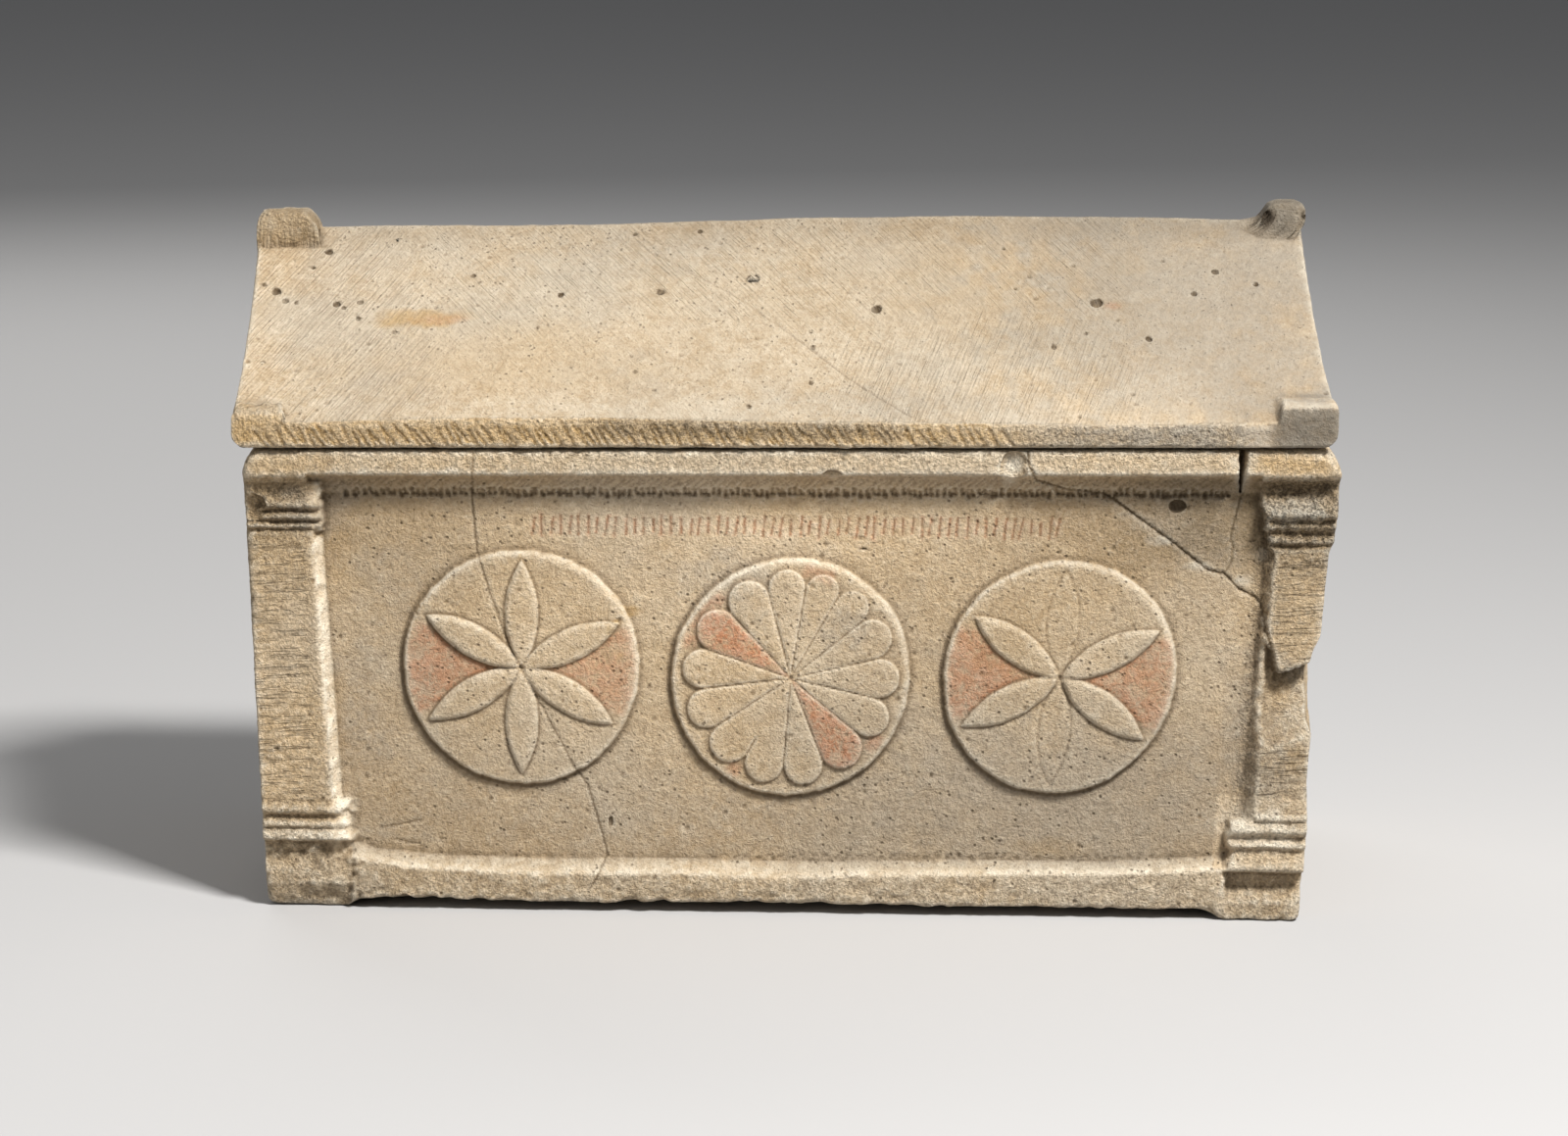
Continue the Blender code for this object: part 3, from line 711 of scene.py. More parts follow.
MOULDINGS = (
    Moulding(-0.2585, ((0.2460, 0.0055), (0.2405, 0.0066), (0.2342, 0.0036), (0.2318, 0.0040),
                       (0.2300, 0.0074), (0.2284, 0.0070), (0.2268, 0.0038), (0.2252, 0.0044),
                       (0.2240, 0.0074), (0.2228, 0.0070), (0.2216, 0.0042), (0.2204, 0.0046),
                       (0.2194, 0.0073), (0.2184, 0.0068), (0.2172, 0.0060)), end_run=0.0018),
    Moulding(0.2545, ((0.2470, 0.0052), (0.2430, 0.0092), (0.2395, 0.0088), (0.2290, 0.0012),
                      (0.2268, 0.0022), (0.2248, 0.0058), (0.2228, 0.0036), (0.2214, 0.0038),
                      (0.2176, 0.0080), (0.2155, 0.0062), (0.2128, 0.0056), (0.2108, 0.0084),
                      (0.2085, 0.0068)), 0.010, erosion=0.0009, broken=(0.2240, 0.2310)),
    Moulding(-0.2440, ((0.0630, 0.0066), (0.0590, 0.0036), (0.0562, 0.0038), (0.0540, 0.0074),
                       (0.0520, 0.0068), (0.0504, 0.0038), (0.0482, 0.0038), (0.0466, 0.0062),
                       (0.0452, 0.0036), (0.0408, 0.0030), (0.0385, 0.0086), (0.0320, 0.0095),
                       (0.0220, 0.0062), (0.0150, 0.0050), (0.0120, 0.0066), (0.0060, 0.0092),
                       (-0.0020, 0.0110)), end_run=0.0090, erosion=0.0008, broken=(0.0260, 0.0415)),
    Moulding(0.2560, ((0.0570, 0.0066), (0.0520, 0.0034), (0.0500, 0.0038), (0.0470, 0.0078),
                      (0.0456, 0.0070), (0.0430, 0.0034), (0.0418, 0.0044), (0.0396, 0.0068),
                      (0.0378, 0.0060), (0.0310, 0.0014), (0.0286, 0.0018), (0.0266, 0.0096),
                      (0.0180, 0.0112), (0.0110, 0.0040), (-0.0020, 0.0030)), end_run=0.0030),
)


class Petals(Enum):
    """The two kinds of petal."""

    POINTED = "pointed"
    SPOON = "spoon"


@dataclass(frozen=True)
class Rosette:
    """A raised disc on the panel, with its petals' bearings clockwise from the top, in degrees."""

    x: float
    z: float
    radius: float
    bearings: tuple[float, ...]
    petals: Petals
    faint: tuple[float, ...] = ()
    worn: Line = ()
    uncut: tuple[Triple, ...] = ()
    disc_relief: float = 0.0038
    petal_relief: float = 0.0018
    petal_bevel: float = 0.0013
    dome: float = 0.0002
    moat: float = 0.0004
    vesica_length: float = 0.0610
    vesica_half_width: float = 0.0092
    spoon_end: float = 0.0618
    spoon_gap: float = math.radians(0.15)

    def inside(self, x: Array, z: Array) -> Array:
        """How far inside the disc's rim each point is.

        Args:
            x, z: the points.

        Returns:
            Metres inside the rim, negative outside.
        """
        u, v = x - self.x, z - self.z
        wobble = noise(np.arctan2(u, v), 0.0 * u, (0.45, 1.0), int(self.radius * 1e5)) * 0.6 * MM
        ragged = noise(x, z, 5 * MM, 61) * 0.40 * MM + noise(x, z, 2 * MM, 63) * 0.20 * MM
        return self.radius + wobble + ragged - np.hypot(u, v)

    def polar(self, x: Array, z: Array) -> tuple[Array, Array]:
        """Each point's distance from the middle, and its bearing in degrees."""
        u, v = x - self.x, z - self.z
        return np.hypot(u, v), np.degrees(np.arctan2(u, v)) % 360

    def share_of(self, index: int) -> Pair:
        """The bearing of the middle of one petal's share of the circle, and half of it, in degrees.

        Args:
            index: which petal.

        Returns:
            The bearing and the half share.
        """
        count, own = len(self.bearings), self.bearings[index]
        before = (own - self.bearings[index - 1]) % 360
        after = (self.bearings[(index + 1) % count] - own) % 360
        return own + (after - before) / 4, (before + after) / 4

    def petal_inside(self, x: Array, z: Array, index: int) -> Array:
        """How far inside one petal's edge each point is.

        Args:
            x, z: the points, along the length and above the ground.
            index: which petal.

        Returns:
            Metres inside its edge, negative outside.
        """
        middle, half = self.share_of(index)
        angle = math.radians(middle if self.petals is Petals.SPOON else self.bearings[index])
        ragged = noise(x, z, 6 * MM, 62) * 0.22 * MM + noise(x, z, 2 * MM, 64) * 0.14 * MM
        u = (x - self.x) * math.cos(angle) - (z - self.z) * math.sin(angle)
        v = (x - self.x) * math.sin(angle) + (z - self.z) * math.cos(angle)
        if self.petals is Petals.POINTED:
            length, half = self.vesica_length, self.vesica_half_width
            radius = (length * length / 4 + half * half) / (2 * half)
            arcs = [np.hypot(u + side * (radius - half), v - length / 2) for side in (1, -1)]
            return radius - np.maximum(*arcs) + ragged
        half = math.radians(half) - self.spoon_gap
        centre = self.spoon_end / (1 + math.sin(half))
        wedge = v * math.sin(half) - np.abs(u) * math.cos(half)
        cap = centre * math.sin(half) - np.hypot(u, v - centre)
        return np.maximum(cap, np.minimum(np.minimum(wedge, centre - v), v - MM)) + 0.6 * ragged

    def outline(self, x: Array, z: Array) -> tuple[Array, Array]:
        """How far inside the nearest petal's edge each point is, and how crisply that petal is cut.

        Args:
            x, z: the points.

        Returns:
            Metres inside the petal, negative outside, and 1 for a petal as cut.
        """
        edge, fresh = np.full(x.shape, -1.0), np.ones(x.shape)
        for index, petal in enumerate(self.bearings):
            if petal in self.faint:
                continue
            own = self.petal_inside(x, z, index)
            fresh = np.where(own > edge, dict(self.worn).get(petal, 1.0), fresh)
            edge = np.maximum(edge, own)
        away, bearing = self.polar(x, z)
        for low, high, reach in self.uncut:
            whole = (bearing > low) & (bearing < high)
            flat = 2 * MM * np.clip((reach - away) / (3 * MM), -1.0, 1.0)
            edge = np.where(whole, np.maximum(edge, flat), edge)
        return edge, fresh

    def carve(self, x: Array, z: Array, setback: Array) -> Array:
        """Raise the disc and its petals.

        Args:
            x, z: the points, along the length and above the ground.
            setback: the front before the rosette is set on.

        Returns:
            The setback with the rosette.
        """
        near = np.hypot(x - self.x, z - self.z) < self.radius + 4 * MM
        px, pz = x[near], z[near]
        away, bearing = self.polar(px, pz)
        facing = np.cos(np.radians(bearing - 50.0))
        bevel = (1.2 + 1.9 * unit(facing)) * MM
        rise = self.disc_relief * unit((self.inside(px, pz) + 0.8 * MM) / bevel)
        for index, petal in enumerate(self.bearings):
            if petal in self.faint:
                own = self.petal_inside(px, pz, index)
                rise -= 0.9 * MM * unit(1.0 - np.abs(own) / (1.1 * MM))
            if self.petals is Petals.SPOON:
                turn = math.radians(self.share_of(index)[0])
                end = (self.x + 52 * MM * math.sin(turn), self.z + 52 * MM * math.cos(turn))
                rise -= 0.5 * MM * unit(1.5 - np.hypot(px - end[0], pz - end[1]) / MM)
        edge, fresh = self.outline(px, pz)
        shape = self.petal_relief * unit((edge + 0.2 * MM) / self.petal_bevel)
        shape += self.dome * unit(edge / (7 * MM))
        shape -= self.moat * unit(1.0 - np.abs(edge + 0.9 * MM) / (1.5 * MM))
        rise += fresh * shape
        rise -= 1.3 * MM * unit(1.5 - away / (1.2 * MM))
        result = setback.copy()
        result[near] = setback[near] - rise
        return result


ROSETTES = (
    Rosette(-0.1505, 0.1398, 0.0668, (0.5, 64.7, 121.6, 180.0, 240.3, 299.5), Petals.POINTED,
            worn=((299.5, 1.5), (240.3, 1.15))),
    Rosette(0.0018, 0.1350, 0.0674, (-3, 18.6, 39, 62, 92, 113.8, 143.5, 171, 195, 222.4, 249.9, 275.5, 301.9,
                                     331.4), Petals.SPOON,
            worn=((18.6, 0.8), (39, 0.6), (62, 0.8), (195, 0.85), (222.4, 0.85)),
            uncut=((197.0, 222.0, 0.040),),
            petal_relief=0.0019, petal_bevel=0.0009, dome=0.0003, moat=0.0002),
    Rosette(0.1540, 0.1359, 0.0659, (0.0, 63.8, 124.7, 182.0, 242.8, 304.7), Petals.POINTED,
            faint=(0.0, 182.0)),
)


@dataclass(frozen=True)
class Scoop:
    """A break, chip or pit: the stone inside an ellipsoid is gone."""

    centre: Triple
    radii: Triple
    roughness: float = 0.08

    def push(self, points: Array) -> Array:
        """Move the surface points inside the ellipsoid out to its skin.

        Args:
            points: the surface.

        Returns:
            The surface with the scoop taken out.
        """
        centre, radii = np.array(self.centre), np.array(self.radii)
        offset = (points - centre) / radii
        size = np.linalg.norm(offset, axis=1)
        hit = size < 1.0
        if not hit.any():
            return points
        p, reach = points[hit], np.maximum(size[hit], 0.05)[:, None]
        rough = (noise(p[:, 0] + p[:, 1], p[:, 2], 0.35 * max(self.radii), 5)
                 + 0.6 * noise(p[:, 0] - p[:, 1], p[:, 2], 0.12 * max(self.radii), 6))
        stretch = 1.0 + self.roughness * rough[:, None] * unit((1.0 - reach) * 4.0)
        moved = points.copy()
        moved[hit] = centre + offset[hit] / reach * stretch * radii
        return moved


class FrontRelief:
    """How far the carved front lies behind the cornice's face."""

    panel_foot = ((-0.262, 0.0418), (-0.247, 0.0383), (-0.236, 0.0342), (-0.199, 0.0310), (-0.150, 0.0297),
                  (-0.062, 0.0303), (0.004, 0.0293), (0.054, 0.0302), (0.116, 0.0313), (0.182, 0.0311),
                  (0.258, 0.0353))
    fragment_foot = ((0.2655, 0.1600), (0.2715, 0.1523), (0.2762, 0.1386), (0.2860, 0.1420), (0.2968, 0.1463),
                     (0.3020, 0.1530))
    break_foot = ((0.2655, 0.1031), (0.2775, 0.0976), (0.2870, 0.1010), (0.2960, 0.1058), (0.3020, 0.1080))
    break_depth = 0.0115
    plinth_top = ((-0.248, 0.0302), (-0.215, 0.0251), (-0.150, 0.0224), (-0.062, 0.0235), (0.000, 0.0215),
                  (0.054, 0.0239), (0.129, 0.0251), (0.204, 0.0264), (0.250, 0.0290))

    def __init__(self, block: Block) -> None:
        """Take the block's measures."""
        self.block = block

    def setback(self, x: Array, z: Array) -> Array:
        """The setback at each point of the front.

        Args:
            x, z: the points, along the length and above the ground.

        Returns:
            Metres behind the cornice's face.
        """
        b = self.block
        ragged = noise(x, z, 5 * MM, 11) * 0.5 * MM
        under = (b.cornice_bottom + ragged - z) / (3.5 * MM) * b.plinth_setback
        deep = np.clip(under, 0.0, b.plinth_setback)
        shaft = (np.abs(x) > 0.255) & (z > 0.060) & (z < b.cornice_bottom - 5.3 * MM)
        deep = np.where(shaft, b.shaft_setback, deep)
        deep = np.maximum(deep, self._panel(x, z, ragged))
        for moulding in MOULDINGS:
            deep = moulding.carve(x, z, deep)
        for rosette in ROSETTES:
            deep = rosette.carve(x, z, deep)
        return deep + self._chisel(x, z) + self._break(x, z)

    def in_break(self, x: Array, z: Array) -> tuple[Array, Array, Array]:
        """Where the break in the right pilaster lies: whether inside it, how far up it, and how uneven.

        Args:
            x, z: the points.

        Returns:
            Whether inside, the share of its height from 0 to 1, and the unevenness.
        """
        uneven = MM * (0.6 * noise(x, z, 7 * MM, 25) + 0.25 * noise(x, z, 2.4 * MM, 26))
        top = follow(self.fragment_foot, x) + 0.5 * uneven
        bottom = follow(self.break_foot, x) + 1.5 * uneven
        up = unit((z - bottom) / (top - bottom))
        return (x > 0.2655) & (z < top) & (z > bottom), up, uneven

    def _break(self, x: Array, z: Array) -> Array:
        """The break in the right pilaster: deep under the mended fragment, running out below.

        Args:
            x, z: the points.

        Returns:
            Metres to set back.
        """
        inside, up, uneven = self.in_break(x, z)
        side = ease(0.2655, 0.2715, x + uneven)
        bowl = self.break_depth * up**0.75 * side + uneven * np.minimum(1.0, 6.0 * up)
        return np.where(inside, np.maximum(bowl, 0.0), 0.0)

    def _panel(self, x: Array, z: Array, ragged: Array) -> Array:
        """The sunk panel with its splays, its sloping foot and the cove above it.

        Args:
            x, z: the points.
            ragged: how uneven the panel's edges are.

        Returns:
            Metres behind the cornice's face.
        """
        b = self.block
        foot_low = follow(self.plinth_top, x) + ragged
        foot_high = follow(self.panel_foot, x) + ragged
        nicked = noise(x, z, 2.4 * MM, 17)
        chipped = ragged * np.where(x < 0, 1.8, 1.2) + np.where(x < 0, 0.5 * MM, 0.3 * MM) * nicked
        width = np.where(x < 0, 4.5, 4.5 + 2.5 * fade(0.06, 0.16, z)) * MM
        half = np.where(x < 0, self.left_edge(z), b.panel_half)
        splay = b.panel_setback - (np.abs(x) + chipped - half) * (b.panel_setback - b.shaft_setback) / width
        rise = (z - foot_low) / (foot_high - foot_low)
        foot = b.plinth_setback + rise * (b.panel_setback - b.plinth_setback)
        head = b.panel_setback - (z - b.panel_top) * b.panel_setback / (b.cornice_bottom - b.panel_top)
        cut = np.minimum(np.minimum(splay, foot), np.minimum(head, b.panel_setback))
        radius, centre_z = 16 * MM, b.cornice_bottom - 15 * MM
        span = np.maximum(0.0, radius**2 - (z - centre_z) ** 2)
        cove = np.where((x > -b.panel_half - 3 * MM) & (x < b.panel_half - 6 * MM) & (span > 0),
                        np.sqrt(span) - 3.5 * MM, 0.0)
        wave = 0.5 * MM * noise(x, z, 42 * MM, 12) + 0.22 * MM * noise(x, z, 9 * MM, 13)
        return np.where(cut > b.panel_setback - MM, cut + wave, np.maximum(cut, cove))

    @staticmethod
    def left_edge(z: Array) -> Array:
        """How far left the panel reaches at each height: it narrows towards its foot."""
        return np.interp(z, (0.068, 0.205), (0.2549, 0.2604))

    def shaft_share(self, x: Array, z: Array) -> Array:
        """1 on the flat faces of the pilasters' shafts, 0 elsewhere."""
        flat = ease(0.2685, 0.2730, np.abs(x)) * ease(0.060, 0.068, z)
        return flat * fade(0.206, 0.214, z) * ~self.in_break(x, z)[0]

    @staticmethod
    def shaft_rise(x: Array, z: Array) -> Array:
        """Height measured along the shafts' tool marks, which rise to the right where they were cut high.

        Args:
            x, z: the points.

        Returns:
            The heights.
        """
        left, right = 0.04 + 0.18 * ease(0.10, 0.20, z), -0.02 + 0.24 * ease(0.13, 0.15, z)
        tilt = np.where(x < 0, left, right)
        return z - tilt * (x - np.sign(x) * 0.285)

    def _chisel(self, x: Array, z: Array) -> Array:
        """Short tool marks on the shafts and the grain of the plain fascia below the panel.

        Args:
            x, z: the points.

        Returns:
            Metres to set back.
        """
        rise = self.shaft_rise(x, z) + 1.2 * MM * noise(x, z, 15 * MM, 14)
        lines = noise(rise, x, (3.0 * MM, 16 * MM), 15)
        cuts = unit(1.0 - np.abs(lines) / 0.24)
        cuts *= unit(0.35 + 0.9 * noise(x, z, 12 * MM, 18))
        rough = 0.3 * MM * noise(x, z, 3.2 * MM, 19)
        plain = fade(0.020, 0.026, z)
        worked = self.shaft_share(x, z) * (cuts * 0.8 * MM + 0.8 * rough)
        return worked + plain * (1.8 * rough + 0.8 * MM * noise(x, z, 9 * MM, 20))


# ---- the two pieces


@dataclass
class StonePiece:
    """What the chest and the lid have in common: they are worn, grooved, pitted and cut to shape by hand."""

    name: str
    cut: HandCut
    budget: int

    def finish(self, points: Array, triangles: Array, trees: list) -> Piece:
        """Run the node trees over the skin and thin it to its budget.

        Args:
            points: the skin's points in the square layout.
            triangles: its triangles.
            trees: pairs of a tree and its inputs, in order.

        Returns:
            The finished piece, still undressed.
        """
        piece = placed(self.name, make_mesh(self.name, points, triangles))
        for tree, values in trees:
            tree.add_to(piece, **values)
        thin = piece.modifiers.new("thin", "DECIMATE")
        thin.ratio = min(1.0, self.budget / len(triangles))
        piece.data = evaluated(piece)
        for lines in [values["lines"] for _, values in trees if "lines" in values]:
            bpy.data.objects.remove(lines)
        log.info("%s: %d triangles before thinning, %d after", self.name, len(triangles),
                 len(piece.data.polygons))
        return piece

    def place(self, piece: Piece, node: str) -> None:
        """Cut the piece to its real shape by hand and keep it inside its node's box.

        Args:
            piece: the piece in the square layout.
            node: the CAD node it stands for.
        """
        points = self.cut.place(mesh_points(piece.data))
        low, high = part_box(node)
        points = np.clip(points, np.array(low), np.array(high))
        piece.data.vertices.foreach_set("co", points.astype(np.float32).ravel())
        piece.data.polygons.foreach_set("use_smooth", np.ones(len(piece.data.polygons), dtype=bool))
        piece.data.update()


FRONT_CRACKS: tuple[Line, ...] = (
    ((-0.1750, 0.2629), (-0.1771, 0.2373), (-0.1748, 0.2061), (-0.1716, 0.1966), (-0.1680, 0.1837),
     (-0.1626, 0.1679), (-0.1567, 0.1511), (-0.1513, 0.1398), (-0.1458, 0.1291), (-0.1392, 0.1184),
     (-0.1325, 0.1054), (-0.1263, 0.0946), (-0.1216, 0.0844), (-0.1128, 0.0714), (-0.1042, 0.0429),
     (-0.1013, 0.0314), (-0.1110, 0.0140)),
    ((0.2420, 0.1942), (0.2455, 0.2008), (0.2457, 0.2101), (0.2438, 0.2137), (0.2447, 0.2210),
     (0.2462, 0.2293), (0.2472, 0.2363), (0.2486, 0.2391)),
)
PANEL_SCRATCHES: tuple[Line, ...] = (
    ((-0.2332, 0.0458), (-0.2220, 0.0476), (-0.2098, 0.0506)),
    ((-0.2240, 0.0392), (-0.2170, 0.0372), (-0.2101, 0.0368)),
)
FRAGMENT_JOINT: Line = (
    (0.1268, 0.2700), (0.1288, 0.2560), (0.1340, 0.2470), (0.1500, 0.2417), (0.1594, 0.2403),
    (0.1703, 0.2390), (0.1788, 0.2346), (0.1943, 0.2237), (0.2134, 0.2106), (0.2327, 0.1963),
    (0.2420, 0.1942), (0.2518, 0.1854), (0.2593, 0.1819), (0.2647, 0.1772), (0.2676, 0.1640),
    (0.2728, 0.1508), (0.2762, 0.1386))
LID_CRACKS: tuple[Line, ...] = (
    ((-0.0802, -0.0264), (-0.0615, -0.0396), (-0.0362, -0.0561), (-0.0118, -0.0767), (0.0100, -0.0955),
     (0.0269, -0.1108), (0.0450, -0.1250), (0.0632, -0.1377)),
)


def wire(name: str, cracks: tuple[Line, ...], lift: tuple[int, int]) -> Piece:
    """The cracks' lines as a mesh of edges for a groove to follow.

    Args:
        name: the wire's name.
        cracks: the cracks.
        lift: which two axes their coordinates belong to.

    Returns:
        The object that carries the lines.
    """
    points, edges = [], []
    for crack in cracks:
        start = len(points)
        for pair in crack:
            point = [0.0, 0.0, 0.0]
            point[lift[0]], point[lift[1]] = pair
            points.append(point)
        edges += [(start + i, start + i + 1) for i in range(len(crack) - 1)]
    mesh = bpy.data.meshes.new(name)
    mesh.from_pydata(points, edges, [])
    return placed(name, mesh)


@dataclass(frozen=True)
class Cut:
    """The section of a groove: its width, depth and raggedness in millimetres, and the way it is pushed."""

    width: float
    depth: float
    ragged: float
    snap: float = 0.5
    push: Triple = PUSH_BACK

    def along(self, lines: Piece) -> dict:
        """The inputs of a groove of this section along an object's lines."""
        return {"lines": lines, "push": self.push, "width": self.width * MM, "depth": self.depth * MM,
                "snap": self.snap * MM, "ragged": self.ragged * MM}


@dataclass(frozen=True)
class ToolRow:
    """A row of upright strokes on the front, its ends as (x, z), and the cut of each stroke."""

    name: str
    start: Pair
    end: Pair
    count: int
    seed: int
    length: float
    lean: float
    scatter: float
    wander: float
    cut: Cut

    def grow(self, tree: StrokeRow) -> Piece:
        """Grow the row on an empty mesh and make it real.

        Args:
            tree: the node tree that sets the strokes side by side.

        Returns:
            The object that carries the strokes' lines.
        """
        made = placed(self.name, bpy.data.meshes.new(self.name))
        start, end = ((x, 0.0, z) for x, z in (self.start, self.end))
        tree.add_to(made, start=start, end=end, count=self.count, seed=self.seed, length=self.length * MM,
                    lean=self.lean, scatter=self.scatter, wander=self.wander * MM, turn_axis=(0.0, 1.0, 0.0),
                    stroke=(0.0, 0.0, 1.0))
        made.data = evaluated(made)
        return made


# each stain is (middle across, middle up, half its width, half its height, strength)
Stains = tuple[tuple[float, float, float, float, float], ...]


def patches(u: Array, v: Array, stains: Stains) -> Array:
    """The strongest stain at each point, its edges uneven.

    Args:
        u, v: the points.
        stains: the stains.

    Returns:
        The stains' strength.
    """
    total = np.zeros_like(u)
    uneven = 0.35 * noise(u, v, 9 * MM, 51) + 0.2 * noise(u, v, 3.5 * MM, 52)
    for middle_u, middle_v, half_u, half_v, strength in stains:
        away = np.hypot((u - middle_u) / half_u, (v - middle_v) / half_v)
        total = np.maximum(total, strength * fade(0.35, 1.25, away + uneven))
    return total


def segments(drawn: Piece) -> list[Line]:
    """The lines of an object that lie in an upright plane, each as its two ends."""
    ends = mesh_points(drawn.data)[:, [ALONG, UP]]
    return [tuple(tuple(ends[i]) for i in edge.vertices) for edge in drawn.data.edges]


def relief_masks(piece: Piece) -> dict[str, Array]:
    """Where the surface is hollow and where it stands proud, from its own shape.

    Args:
        piece: the piece.

    Returns:
        The masks by name, each from 0 to 1.
    """
    mesh = piece.data
    points = mesh_points(mesh)
    edges = np.empty(len(mesh.edges) * 2, dtype=np.int32)
    mesh.edges.foreach_get("vertices", edges)
    normals = np.empty(len(mesh.vertices) * 3, dtype=np.float32)
    mesh.vertex_normals.foreach_get("vector", normals)
    edges, normals = edges.reshape(-1, 2), normals.reshape(-1, 3)
    near = neighbour_mean(points, edges, 2)
    wide = neighbour_mean(near, edges, 14)
    fine, broad = (((spread - points) * normals).sum(axis=1) for spread in (near, wide))
    return {"hollow": unit(fine / (0.30 * MM)), "proud": unit(-fine / (0.30 * MM)),
            "recess": unit(broad / (1.3 * MM)), "edge": unit(-broad / (1.5 * MM))}


def store(piece: Piece, masks: dict[str, Array]) -> None:
    """Keep the masks on the mesh as point attributes.

    Args:
        piece: the piece.
        masks: one value for each point, by name.
    """
    for name, values in masks.items():
        made = piece.data.attributes.new(name, "FLOAT", "POINT")
        made.data.foreach_set("value", values.astype(np.float32))


PIT_SIZES = {"smallest": 0.8 * MM, "largest": 2.2 * MM, "depth": 0.45}
RASP_DEGREES = (130.0, 69.0, 57.0)
RASP_MASKS = ("rasp_left", "rasp_right", "rasp_end")
SHAFT_TILT = math.radians(-3.5)


@dataclass
class FrontMasks:
    """Where the chest is stained, painted, cracked or worn, and where shade and highlight are painted into
    its colour: a value for each of its points.
    """

    x: Array
    y: Array
    z: Array
    block: Block
    front_fade: Pair = (16 * MM, 30 * MM)
    writing_strip: Pair = (0.208, 0.232)
    splay_heights: Pair = (0.060, 0.214)
    crack_darkness: Triple = (0.50, 0.45, 0.45)
    rosette_reach: float = 6 * MM
    spoon_inset: float = 0.5
    ochre_patches: Stains = (
        (-0.2545, 0.1235, 0.010, 0.012, 0.5), (0.156, 0.038, 0.028, 0.008, 0.7),
        (-0.1006, 0.1617, 0.004, 0.004, 1.0), (-0.0968, 0.1660, 0.004, 0.003, 1.0),
        (-0.0895, 0.1720, 0.006, 0.004, 1.0), (-0.0950, 0.1480, 0.005, 0.003, 0.9),
        (0.03, 0.20, 0.12, 0.03, 0.2), (-0.215, 0.255, 0.03, 0.006, 0.5), (-0.285, 0.256, 0.02, 0.008, 0.5))
    # pale patches: fresh chips and the fragment's lip, and painted highlight on lit parts of the capital, the
    # bases and the break
    pale_and_highlight_patches: Stains = (
        (0.1195, 0.2540, 0.0065, 0.0100, 1.6), (0.2, 0.222, 0.02, 0.008, 0.3),
        (0.1850, 0.2262, 0.008, 0.003, 0.6), (0.2050, 0.2125, 0.009, 0.003, 0.8),
        (0.2250, 0.1985, 0.010, 0.003, 0.8),
        (-0.187, 0.2520, 0.012, 0.0035, 0.8), (-0.252, 0.052, 0.008, 0.014, 0.9),
        (0.292, 0.118, 0.014, 0.024, 0.7), (0.262, 0.205, 0.004, 0.004, 0.9),
        (0.252, 0.190, 0.006, 0.003, 1.0), (0.280, 0.232, 0.022, 0.009, 1.1),
        (-0.270, 0.044, 0.030, 0.006, 0.8), (0.280, 0.050, 0.030, 0.014, 0.9))
    grey_patches: Stains = (
        (0.032, 0.163, 0.016, 0.014, 0.55), (-0.240, 0.120, 0.018, 0.060, 0.45),
        (-0.036, 0.183, 0.030, 0.028, 0.5), (0.262, 0.120, 0.016, 0.05, 0.5),
        (-0.262, 0.235, 0.02, 0.02, 0.5), (0.215, 0.06, 0.05, 0.03, 0.35),
        (-0.215, 0.185, 0.03, 0.03, 0.4), (0.10, 0.06, 0.05, 0.02, 0.25),
        (0.14, 0.07, 0.12, 0.06, 0.45), (-0.05, 0.05, 0.16, 0.03, 0.35),
        (0.27, 0.09, 0.02, 0.05, 0.5))
    # painted shadow under the cornice and the capitals, beneath the left base's mouldings and in the break
    # under the mended fragment
    painted_shadow_patches: Stains = (
        (0.282, 0.135, 0.014, 0.012, 0.55), (0.280, 0.2085, 0.026, 0.009, 0.50),
        (-0.284, 0.226, 0.024, 0.012, 0.40), (-0.283, 0.2390, 0.026, 0.0070, 0.45),
        (-0.275, 0.0270, 0.028, 0.0100, 0.45))

    def __post_init__(self) -> None:
        """Find the front, the left splay, and how far up the panel's foot each point is."""
        self.relief = FrontRelief(self.block)
        self.front = fade(*self.front_fade, self.y - self.block.front)
        self.foot = fade(0.012, 0.030, self.z)
        low, high = follow(self.relief.plinth_top, self.x), follow(self.relief.panel_foot, self.x)
        self.up = (self.z - low) / (high - low)
        self.beside = -self.x - FrontRelief.left_edge(self.z)
        splay = ease(-MM, 0.5 * MM, self.beside) * fade(3.8 * MM, 5.2 * MM, self.beside)
        self.splay = splay * (self.z > self.splay_heights[0]) * (self.z < self.splay_heights[1])

    def every(self, marks: list[Line]) -> dict[str, Array]:
        """All the masks by name.

        Args:
            marks: the strokes that stand in the writing's place.

        Returns:
            The masks, as the finish reads them.
        """
        front = self.front
        # beside the stains: painted shade, pale wear mixed with painted highlight, and the side of each disc
        # whose rim gets painted shadow
        return {"shaft": self.relief.shaft_share(self.x, self.z) * front, "paint": self._paint(marks) * front,
                "ochre": self._ochre(), "grey": patches(self.x, self.z, self.grey_patches) * front,
                "crack": self._cracks() * front, "chalk_and_highlight": self._pale_and_highlight() * front, "grit": self._grit(),
                "shade": self._painted_shade() * front, **self._carved_edges()}

    def _cracks(self) -> Array:
        """The dark lines of the cracks and of the mended fragment's joint.

        Returns:
            How dark they are.
        """
        x, z = self.x, self.z
        lines = np.zeros_like(x)
        for crack, dark in zip((*FRONT_CRACKS, FRAGMENT_JOINT), self.crack_darkness):
            lines = np.maximum(lines, dark * fade(0.2 * MM, 1.0 * MM, line_distance(x, z, crack)))
        return lines * (0.45 + 0.9 * unit(0.5 + noise(x, z, 14 * MM, 53)))

